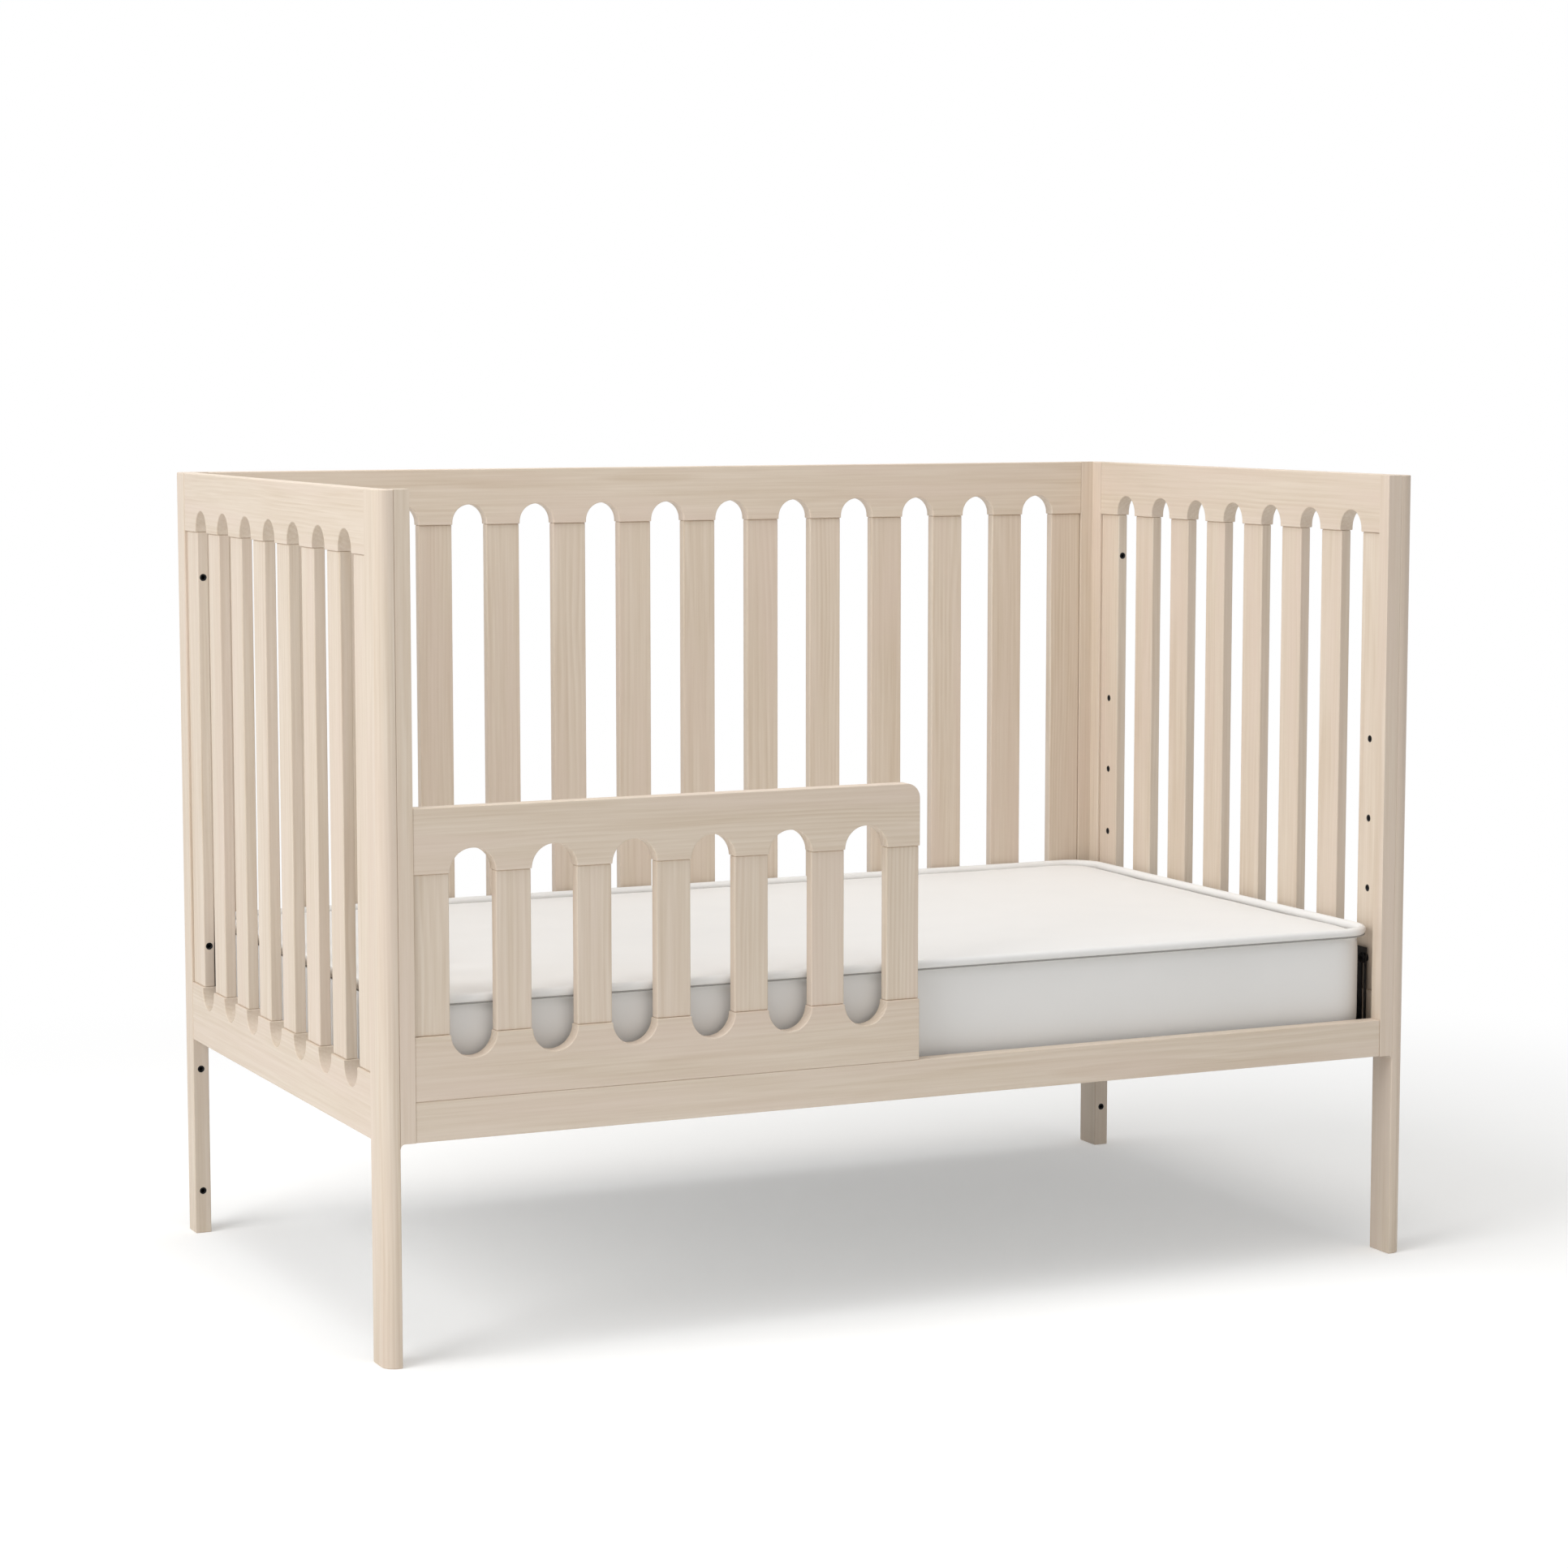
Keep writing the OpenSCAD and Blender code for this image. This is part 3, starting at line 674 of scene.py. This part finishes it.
def carve_cams(piece, rail):
    """Bores a long rail for its cam discs."""
    sizes = bpy.context.scene.crib_hardware
    for name, both_ends, rise in CAM_RAILS:
        if name == rail:
            places = cam_places(rail, both_ends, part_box(rail)[0].z + rise * MM)
            bores = [add_rod("bore", p + Vector((0, MM, 0)), p - Vector((0, sizes.cam_depth, 0)),
                             sizes.cam_diameter / 2 + 0.2 * MM, ROUND_SIDES) for p in places]
            carve(piece, bores)


def lay_rail(rail, name):
    """Rounds a long rail, moves it to its place, bores it for its cams and finishes it."""
    round_edges(rail, bpy.context.scene.crib_wood.rail_round)
    middle = centre_of(name)
    board = copy_piece(rail, name + "_board", (middle.x, middle.y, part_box(name)[0].z))
    remove(rail)
    carve_cams(board, name)
    shade(board)
    finish_board(board, "x", [name])


class CRIB_OT_end_rails(Operator):
    """Models the top and lower rails of both ends"""
    bl_idname = "crib.end_rails"
    bl_label = "End rails"

    def execute(self, context):
        wood = context.scene.crib_wood
        for kind, opens_up in (("top", False), ("lower", True)):
            node = f"left_{kind}_rail"
            model = arched_rail("end_rail", span_of(node, 1), span_of(node, 0), span_of(node, 2),
                                END_SLATS, span_of("left_slat_1", 1), wood.arch_rise, opens_up)
            round_edges(model, wood.rail_round)
            for side in (LEFT, RIGHT):
                name = f"{side}_{kind}_rail"
                middle = centre_of(name)
                place = (middle.x, middle.y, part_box(name)[0].z)
                rail = copy_piece(model, name + "_board", place, math.pi / 2)
                finish_board(rail, "y", [name])
            remove(model)
        return {"FINISHED"}


class CRIB_OT_back_rails(Operator):
    """Models the top and lower rails of the back"""
    bl_idname = "crib.back_rails"
    bl_label = "Back rails"

    def execute(self, context):
        wood = context.scene.crib_wood
        for name, opens_up in (("back_top_rail", False), ("back_lower_rail", True)):
            rail = arched_rail("rail", span_of(name, 0), span_of(name, 1), span_of(name, 2),
                               BACK_SLATS, span_of("back_slat_1", 0), wood.arch_rise, opens_up)
            lay_rail(rail, name)
        return {"FINISHED"}


def slat_model(width, thickness, height, radius):
    """A slat with its width along X, about the origin, standing on z = 0."""
    slat = add_block("slat", (-width / 2, -thickness / 2, 0), (width / 2, thickness / 2, height))
    round_edges(slat, radius)
    return slat


def shoulders(top_rail, lower_rail):
    """Heights between which a panel's slats show."""
    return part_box(lower_rail)[1].z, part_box(top_rail)[0].z


def row_of_slats(panel, count):
    """The slats of a panel that runs along the crib."""
    bottom, top = shoulders(f"{panel}_top_rail", f"{panel}_lower_rail")
    first = f"{panel}_slat_1"
    model = slat_model(span_of(first, 0), span_of(first, 1), top - bottom,
                       bpy.context.scene.crib_wood.slat_round)
    for number in range(1, count + 1):
        name = f"{panel}_slat_{number}"
        middle = centre_of(name)
        slat = copy_piece(model, name + "_board", (middle.x, middle.y, bottom))
        finish_board(slat, "z", [name])
    remove(model)


class CRIB_OT_end_slats(Operator):
    """Models the slats of both ends, with bores for inserts in the outer ones"""
    bl_idname = "crib.end_slats"
    bl_label = "End slats"

    def execute(self, context):
        bottom, top = shoulders("left_top_rail", "left_lower_rail")
        model = slat_model(span_of("left_slat_2", 1), span_of("left_slat_2", 0), top - bottom,
                           context.scene.crib_wood.slat_round)
        for side in (LEFT, RIGHT):
            for number in range(1, END_SLATS + 1):
                name = f"{side}_slat_{number}"
                middle = centre_of(name)
                slat = copy_piece(model, name + "_board", (middle.x, middle.y, bottom),
                                  math.pi / 2)
                if number in (1, END_SLATS):
                    carve_inserts(slat, name, context.scene.crib_hardware)
                    shade(slat)
                finish_board(slat, "z", [name])
        remove(model)
        return {"FINISHED"}


class CRIB_OT_back_slats(Operator):
    """Models the slats of the back"""
    bl_idname = "crib.back_slats"
    bl_label = "Back slats"

    def execute(self, context):
        row_of_slats("back", BACK_SLATS)
        return {"FINISHED"}


class CRIB_OT_front_bar(Operator):
    """Models the low bar along the front"""
    bl_idname = "crib.front_bar"
    bl_label = "Front bar"

    def execute(self, context):
        low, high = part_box("front_bar")
        bar = add_block("front_bar_board", low, high)
        round_edges(bar, context.scene.crib_wood.rail_round)
        carve_cams(bar, "front_bar")
        screws = [centre_of(f"guard_slat_{i}").x for i in (2, 4, 6)]
        middle = (low.y + high.y) / 2
        recess = [add_rod("recess", (x, middle, low.z - MM), (x, middle, low.z + 8 * MM), 5 * MM)
                  for x in screws]
        carve(bar, recess)
        shade(bar)
        finish_board(bar, "x", ["front_bar"])
        return {"FINISHED"}


class CRIB_OT_guard(Operator):
    """Models the guard rail: two arched rails and the slats between them"""
    bl_idname = "crib.guard"
    bl_label = "Guard rail"

    def execute(self, context):
        wood = context.scene.crib_wood
        width = span_of("guard_slat_1", 0)
        for name, opens_up in (("guard_lower_rail", True), ("guard_top_rail", False)):
            rail = arched_rail("rail", span_of(name, 0), span_of(name, 1), span_of(name, 2),
                               GUARD_SLATS, width, 0.0, opens_up)
            if name == "guard_top_rail":
                self.round_corner(rail, span_of(name, 0) / 2, span_of(name, 2), wood)
            lay_rail(rail, name)
        row_of_slats("guard", GUARD_SLATS)
        return {"FINISHED"}

    def round_corner(self, rail, end, top, wood):
        """Rounds the free top corner."""
        edit(rail, "EDGE", lambda p: same(p, 0, end) and same(p, 2, top))
        bpy.ops.mesh.bevel(offset=wood.guard_corner, segments=12, affect="EDGES", profile=0.5)
        end_edit()


# ---------- hardware ----------

INSERT_SOCKET, INSERT_SOCKET_DEPTH = 5.2 * MM, 4 * MM   # the insert's hexagon socket
INSERT_THREAD = (3.5 * MM, 11 * MM)   # depths between which its thread is open
INSERT_THREAD_RADIUS = 2.4 * MM
BOLT_HEAD_THICKNESS = 2.5 * MM
BOLT_SOCKET, BOLT_SOCKET_DEPTH = 5 * MM, 2.2 * MM
CAM_SUNK = 0.3 * MM      # how far a cam disc's face lies below the wood's
CAM_RIM, CAM_DISH = 1.1 * MM, 0.6 * MM   # width of a cam disc's rim and depth inside it
CAM_SLOT = (4.6 * MM, 0.75 * MM)         # half the length and width of each arm of its cross

def hex_recess(centre, way, across, depth):
    """A six-sided cutter for an Allen key's socket."""
    return add_rod("socket", centre - way * depth, centre + way * MM,
                   across / math.sqrt(3), 6)


class CRIB_OT_inserts(Operator):
    """Models the threaded inserts: a flush sleeve with a hexagon socket over its thread"""
    bl_idname = "crib.inserts"
    bl_label = "Threaded inserts"

    def execute(self, context):
        sizes = context.scene.crib_hardware
        sleeves = []
        for _, mouth, way in insert_mouths(sizes):
            sleeve = add_rod("sleeve", mouth - way * sizes.insert_length, mouth,
                             sizes.insert_diameter / 2, ROUND_SIDES // 2)
            apply_modifier(sleeve, "BEVEL", width=0.5 * MM, segments=2, limit_method="ANGLE",
                           angle_limit=SHARP)
            carve(sleeve, [hex_recess(mouth, way, INSERT_SOCKET, INSERT_SOCKET_DEPTH)])
            start, end = INSERT_THREAD
            carve(sleeve, [add_rod("thread", mouth - way * end, mouth - way * start,
                                   INSERT_THREAD_RADIUS, 16)])
            sleeves.append(sleeve)
        inserts = join(sleeves)
        inserts.name = "insert_sleeves"
        shade(inserts)
        finish(inserts, material("black_oxide_steel"), "crib", ["threaded_inserts"])
        return {"FINISHED"}


class CRIB_OT_bolts(Operator):
    """Models the four shoulder bolts that the mattress support hangs on"""
    bl_idname = "crib.bolts"
    bl_label = "Support bolts"

    def execute(self, context):
        sizes = context.scene.crib_hardware
        low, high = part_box("support_bolts")
        rail_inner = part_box("left_lower_rail")[1].x
        bolts = []
        for side in (LEFT, RIGHT):
            way = Vector((1 if side == LEFT else -1, 0, 0))
            reach = low.x if side == LEFT else high.x
            crown = -way.x * self.head_face()
            collar = way.x * rail_inner
            slat_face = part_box(f"{side}_slat_1")[1 if side == LEFT else 0].x
            for number in (1, END_SLATS):
                y = centre_of(f"{side}_slat_{number}").y
                bolts.append(self.bolt(Vector((crown, y, sizes.lowest_height)), way,
                                       abs(crown - collar), abs(collar - slat_face),
                                       abs(reach - crown), sizes))
        piece = join(bolts)
        piece.name = "shoulder_bolts"
        shade(piece)
        finish(piece, material("black_oxide_steel"), "crib", ["support_bolts"])
        return {"FINISHED"}

    def head_face(self):
        """Distance from the crib's middle to the bolts' heads."""
        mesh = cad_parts["support_bolts"].data
        return min(abs(v.co.x) for v in mesh.vertices)

    def bolt(self, crown, way, neck, collar, reach, sizes):
        """One bolt: a chamfered head with a hexagon socket, a neck, a collar and a shank."""
        head = add_rod("head", crown - way * BOLT_HEAD_THICKNESS, crown, sizes.bolt_head / 2, 32)
        apply_modifier(head, "BEVEL", width=0.7 * MM, segments=3, limit_method="ANGLE",
                       angle_limit=SHARP)
        carve(head, [hex_recess(crown, way, BOLT_SOCKET, BOLT_SOCKET_DEPTH)])
        ring = add_rod("collar", crown - way * (neck + collar), crown - way * neck,
                       sizes.bolt_collar / 2, 32)
        shank = add_rod("shank", crown - way * reach, crown - way * (BOLT_HEAD_THICKNESS - 0.1 * MM),
                        sizes.bolt_thread / 2)
        return join([head, ring, shank])


class CRIB_OT_cams(Operator):
    """Models the cam discs: a rimmed disc with a cross slot"""
    bl_idname = "crib.cams"
    bl_label = "Cam discs"

    def execute(self, context):
        sizes = context.scene.crib_hardware
        out = Vector((0, 1, 0))
        discs = []
        for rail, both_ends, rise in CAM_RAILS:
            for place in cam_places(rail, both_ends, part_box(rail)[0].z + rise * MM):
                disc = add_rod("disc", place - out * sizes.cam_depth, place - out * CAM_SUNK,
                               sizes.cam_diameter / 2, ROUND_SIDES)
                face = place.y - CAM_SUNK
                edit(disc, "FACE", lambda p: same(p, 1, face))
                bpy.ops.mesh.inset(thickness=CAM_RIM)
                bpy.ops.mesh.extrude_region_move(
                    TRANSFORM_OT_translate={"value": (0, -CAM_DISH, 0)})
                end_edit()
                slots = [add_block("slot", place - Vector((w, 3 * MM, h)),
                                   place + Vector((w, MM, h)))
                         for w, h in (CAM_SLOT, CAM_SLOT[::-1])]
                for slot in slots:
                    carve(disc, [slot])
                discs.append(disc)
        piece = join(discs)
        piece.name = "cam_disc_castings"
        shade(piece)
        finish(piece, material("die_cast_zinc"), "crib", ["cam_discs"])
        return {"FINISHED"}


# Nodes whose CAD shape is kept, with the finish that each one shows
KEPT_NODES = {
    "cam_pins": "zinc_plated_steel",
    "guard_screws": "zinc_plated_steel",
    "rail_dowels": "raw_beech",
    "support_frame": "powder_coated_steel",
    "support_brackets": "powder_coated_steel",
    "support_deck": "zinc_plated_steel",
}


class CRIB_OT_fittings(Operator):
    """Finishes the steel support, the pins, the screws and the dowels"""
    bl_idname = "crib.fittings"
    bl_label = "Support and fittings"

    def execute(self, context):
        for node, name in KEPT_NODES.items():
            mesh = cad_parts[node].data
            mesh.materials.clear()
            mesh.materials.append(material(name))
        return {"FINISHED"}


# ---------- mattress ----------

VOXEL = 11 * MM
CLOTH_FRAMES = 20


def rounded_slab(name, low, high, corner, edge):
    """A slab with round corners in plan and softly rounded top and bottom edges."""
    slab = add_block(name, low, high)
    edit(slab, "EDGE", lambda p: abs(p[0].z - p[1].z) > MM)
    bpy.ops.mesh.bevel(offset=corner, segments=10, affect="EDGES", profile=0.5)
    end_edit()
    edit(slab, "EDGE", lambda p: same(p, 2, low.z) or same(p, 2, high.z))
    bpy.ops.mesh.bevel(offset=edge, segments=4, affect="EDGES", profile=0.5)
    end_edit()
    return slab


def inflate(piece, cap):
    """Fills a cover from inside with the cloth simulation, and limits how far it swells."""
    scene = bpy.context.scene
    start = [v.co.copy() for v in piece.data.vertices]
    choose(piece)
    cloth = piece.modifiers.new("Cloth", "CLOTH")
    cloth.settings.quality = 4
    cloth.settings.mass = 0.3
    cloth.settings.tension_stiffness = 12
    cloth.settings.compression_stiffness = 12
    cloth.settings.use_pressure = True
    cloth.settings.uniform_pressure_force = 4.0
    cloth.settings.effector_weights.gravity = 0.0
    cloth.point_cache.frame_start = 1
    cloth.point_cache.frame_end = CLOTH_FRAMES
    for number in range(1, CLOTH_FRAMES + 1):
        scene.frame_set(number)
    bpy.ops.object.modifier_apply(modifier=cloth.name)
    scene.frame_set(1)
    for vertex, home in zip(piece.data.vertices, start):
        move = vertex.co - home
        if move.length > cap:
            vertex.co = home + move * (cap / move.length)


def piping(name, inset, z, radius, corner, low, high):
    """A round cord that runs along the mattress's edge at a height."""
    deselect()
    middle = (low + high) / 2
    bpy.ops.mesh.primitive_plane_add(size=1, location=(middle.x, middle.y, z))
    bpy.context.object.scale = (high.x - low.x - 2 * inset, high.y - low.y - 2 * inset, 1)
    cord = settle(name)
    edit(cord, "FACE", lambda p: True)
    bpy.ops.mesh.bevel(offset=corner - inset, segments=14, affect="VERTICES")
    bpy.ops.mesh.delete(type="ONLY_FACE")
    end_edit()
    choose(cord)
    bpy.ops.object.convert(target="CURVE")
    path = bpy.context.object
    path.data.bevel_depth = radius
    path.data.bevel_resolution = 5
    bpy.ops.object.convert(target="MESH")
    cord = settle(name)
    choose(cord)
    bpy.ops.object.shade_smooth()
    return cord


class CRIB_OT_mattress(Operator):
    """Models the mattress: a filled cover, a piped welt and the seam under it, whose grey cord is
    painted shade for the crease under the welt
    """
    bl_idname = "crib.mattress"
    bl_label = "Mattress"

    def execute(self, context):
        sizes = context.scene.crib_mattress
        low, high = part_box("mattress")
        cover = material("woven_cotton_cover")
        drop = sizes.welt / 2
        slack = 2.0 * MM
        body = rounded_slab("mattress_body", low + Vector((slack, 0.8 * MM, 0)),
                            high - Vector((slack, 0.8 * MM, drop)), sizes.corner, sizes.edge)
        apply_modifier(body, "REMESH", mode="VOXEL", voxel_size=VOXEL)
        inflate(body, sizes.crown_cap)
        self.hold_in(body, low, high)
        apply_modifier(body, "SMOOTH", factor=0.5, iterations=4)
        apply_modifier(body, "SUBSURF", levels=1, render_levels=1)
        choose(body)
        bpy.ops.object.shade_smooth()
        finish(body, cover, "mattress", ["mattress"])

        welt = piping("mattress_welt", drop - 0.3 * MM, high.z - drop, drop, sizes.corner, low, high)
        finish(welt, cover, "mattress", ["mattress"])
        # the seam cord stands for a real seam, drawn grey as painted shade for the crease under the
        # welt
        seam = piping("mattress_seam", sizes.seam / 2 + 0.9 * MM, high.z - 2 * drop + 0.4 * MM,
                      sizes.seam / 2, sizes.corner, low, high)
        finish(seam, material("seam_thread"), "mattress", ["mattress"])
        return {"FINISHED"}

    def hold_in(self, body, low, high):
        """The frame and the base keep the cover flat underneath and inside the rails."""
        for vertex in body.data.vertices:
            vertex.co.x = min(max(vertex.co.x, low.x + MM), high.x - MM)
            vertex.co.y = min(max(vertex.co.y, low.y + 0.3 * MM), high.y - 0.3 * MM)
            vertex.co.z = min(max(vertex.co.z, low.z), high.z)


# ---------- stage ----------

CAMERA_PLACE = (-2.0472, -4.3875, 1.1243)
CAMERA_TILT = 6.2304     # degrees below the horizon
CAMERA_PAN = 24.9908     # degrees clockwise from straight ahead
CAMERA_LENS = 87.12      # millimetres on a 36 mm sensor
AMBIENT = 0.36           # strength of the light from all around
FLOOR_LIFT = 0.20        # how much whiter the camera sees the paper than it is lit
FLOOR_SIZE = 40.0
FADE_START, FADE_END = 1.0, 2.2   # metres out between which the paper goes to plain white

# (name, place, point it faces, side in metres, watts, tint)
SOFTBOXES = (
    ("left_softbox", (-4.2, -1.2, 2.9), (0, 0, 0.6), 3.2, 126, (0.99, 0.99, 1.0)),
    ("top_softbox", (-0.3, -0.1, 4.0), (0, 0, 0), 2.6, 72, (1.0, 1.0, 1.0)),
    ("front_softbox", (1.0, -5.0, 2.0), (0, 0, 0.5), 3.0, 22, (1.0, 0.98, 0.95)),
)


def looked_at(tree):
    """1 for a ray from the eye, straight or by way of a reflection or glass, and 0 for light."""
    path = add(tree, "ShaderNodeLightPath")
    seen = add(tree, "ShaderNodeMath", GREATER, in_0=path.outputs["Is Camera Ray"],
               in_1=path.outputs["Is Glossy Ray"])
    return add(tree, "ShaderNodeMath", GREATER, in_0=seen,
               in_1=path.outputs["Is Transmission Ray"])


def floor_material():
    """Seamless white paper: matt, with the shadow kept near the crib and pure white beyond."""
    paper, tree, surface = new_material("white_paper_sweep")
    surface.inputs["Base Color"].default_value = srgb("F6F6F5")
    surface.inputs["Roughness"].default_value = 0.9
    surface.inputs["Specular IOR Level"].default_value = 0.0
    place = add(tree, "ShaderNodeTexCoord").outputs["Object"]
    far = add(tree, "ShaderNodeVectorMath", {"operation": "LENGTH"}, in_0=place).outputs["Value"]
    fade = add(tree, "ShaderNodeMapRange", SMOOTH, Value=far,
               From_Min=FADE_START, From_Max=FADE_END)
    seen = looked_at(tree)
    factor = add(tree, "ShaderNodeMath", TIMES, in_0=fade, in_1=seen)
    lift = add(tree, "ShaderNodeMath", TIMES, in_0=seen, in_1=FLOOR_LIFT)
    glow = add(tree, "ShaderNodeEmission", None, Color=(1, 1, 1, 1), Strength=lift)
    near = add(tree, "ShaderNodeAddShader", None, in_0=surface, in_1=glow)
    white = add(tree, "ShaderNodeEmission", None, Color=(1, 1, 1, 1), Strength=1.0)
    mix = add(tree, "ShaderNodeMixShader", None, in_0=factor, in_1=near, in_2=white)
    feed(tree, tree.nodes["Material Output"].inputs["Surface"], mix)
    return paper


def build_world():
    """Even soft light from all around, seen as plain white."""
    world = bpy.data.worlds.new("studio")
    world.use_nodes = True
    tree = world.node_tree
    seen = looked_at(tree)
    strength = add(tree, "ShaderNodeMapRange", None, Value=seen, To_Min=AMBIENT, To_Max=1.0)
    feed(tree, tree.nodes["Background"].inputs["Strength"], strength)
    tree.nodes["Background"].inputs["Color"].default_value = (1, 1, 1, 1)
    bpy.context.scene.world = world


def add_softbox(name, place, target, size, watts, tint):
    """A large square lamp that faces a target."""
    deselect()
    bpy.ops.object.light_add(type="AREA", location=place)
    lamp = bpy.context.object
    lamp.name = name
    lamp.rotation_euler = (Vector(target) - Vector(place)).to_track_quat("-Z", "Y").to_euler()
    lamp.data.shape = "SQUARE"
    lamp.data.size = size
    lamp.data.energy = watts
    lamp.data.color = tint


class CRIB_OT_stage(Operator):
    """Sets the floor, the soft lamps and the camera"""
    bl_idname = "crib.stage"
    bl_label = "Stage"

    def execute(self, context):
        deselect()
        bpy.ops.mesh.primitive_plane_add(size=FLOOR_SIZE, location=(0, 0, 0))
        floor = bpy.context.object
        floor.name = "floor"
        floor.data.materials.append(floor_material())
        build_world()
        for softbox in SOFTBOXES:
            add_softbox(*softbox)
        deselect()
        turn = (math.radians(90 - CAMERA_TILT), 0, math.radians(-CAMERA_PAN))
        bpy.ops.object.camera_add(location=CAMERA_PLACE, rotation=turn)
        camera = bpy.context.object
        camera.data.lens = CAMERA_LENS
        camera.data.sensor_width = 36
        context.scene.camera = camera
        context.scene.view_settings.view_transform = "Standard"
        return {"FINISHED"}


# ---------- add-on ----------

OPERATORS = (
    CRIB_OT_stage, CRIB_OT_legs, CRIB_OT_end_rails, CRIB_OT_back_rails, CRIB_OT_end_slats,
    CRIB_OT_back_slats, CRIB_OT_front_bar, CRIB_OT_guard, CRIB_OT_inserts, CRIB_OT_bolts,
    CRIB_OT_cams, CRIB_OT_fittings, CRIB_OT_mattress,
)


class CRIB_PT_panel(Panel):
    """Buttons that model the crib piece by piece"""
    bl_label = "Baby Crib"
    bl_idname = "CRIB_PT_panel"
    bl_space_type = "VIEW_3D"
    bl_region_type = "UI"
    bl_category = "Crib"

    def draw(self, context):
        for operator in OPERATORS:
            self.layout.operator(operator.bl_idname)


GROUPS = {
    "crib_wood": CribWoodSizes,
    "crib_hardware": CribHardwareSizes,
    "crib_mattress": CribMattressSizes,
    "crib_colours": CribColours,
}


def register():
    """Registers the classes and gives the scene its sizes and colours."""
    for group in (*GROUPS.values(), *OPERATORS, CRIB_PT_panel):
        bpy.utils.register_class(group)
    for name, group in GROUPS.items():
        setattr(bpy.types.Scene, name, PointerProperty(type=group))


def unregister():
    """Takes the classes and the scene's properties away again."""
    for name in GROUPS:
        delattr(bpy.types.Scene, name)
    for group in reversed((*GROUPS.values(), *OPERATORS, CRIB_PT_panel)):
        bpy.utils.unregister_class(group)


def main():
    """Builds every piece."""
    register()
    build_materials()
    for operator in OPERATORS:
        family, name = operator.bl_idname.split(".")
        getattr(getattr(bpy.ops, family), name)()


if __name__ == "__main__":
    main()
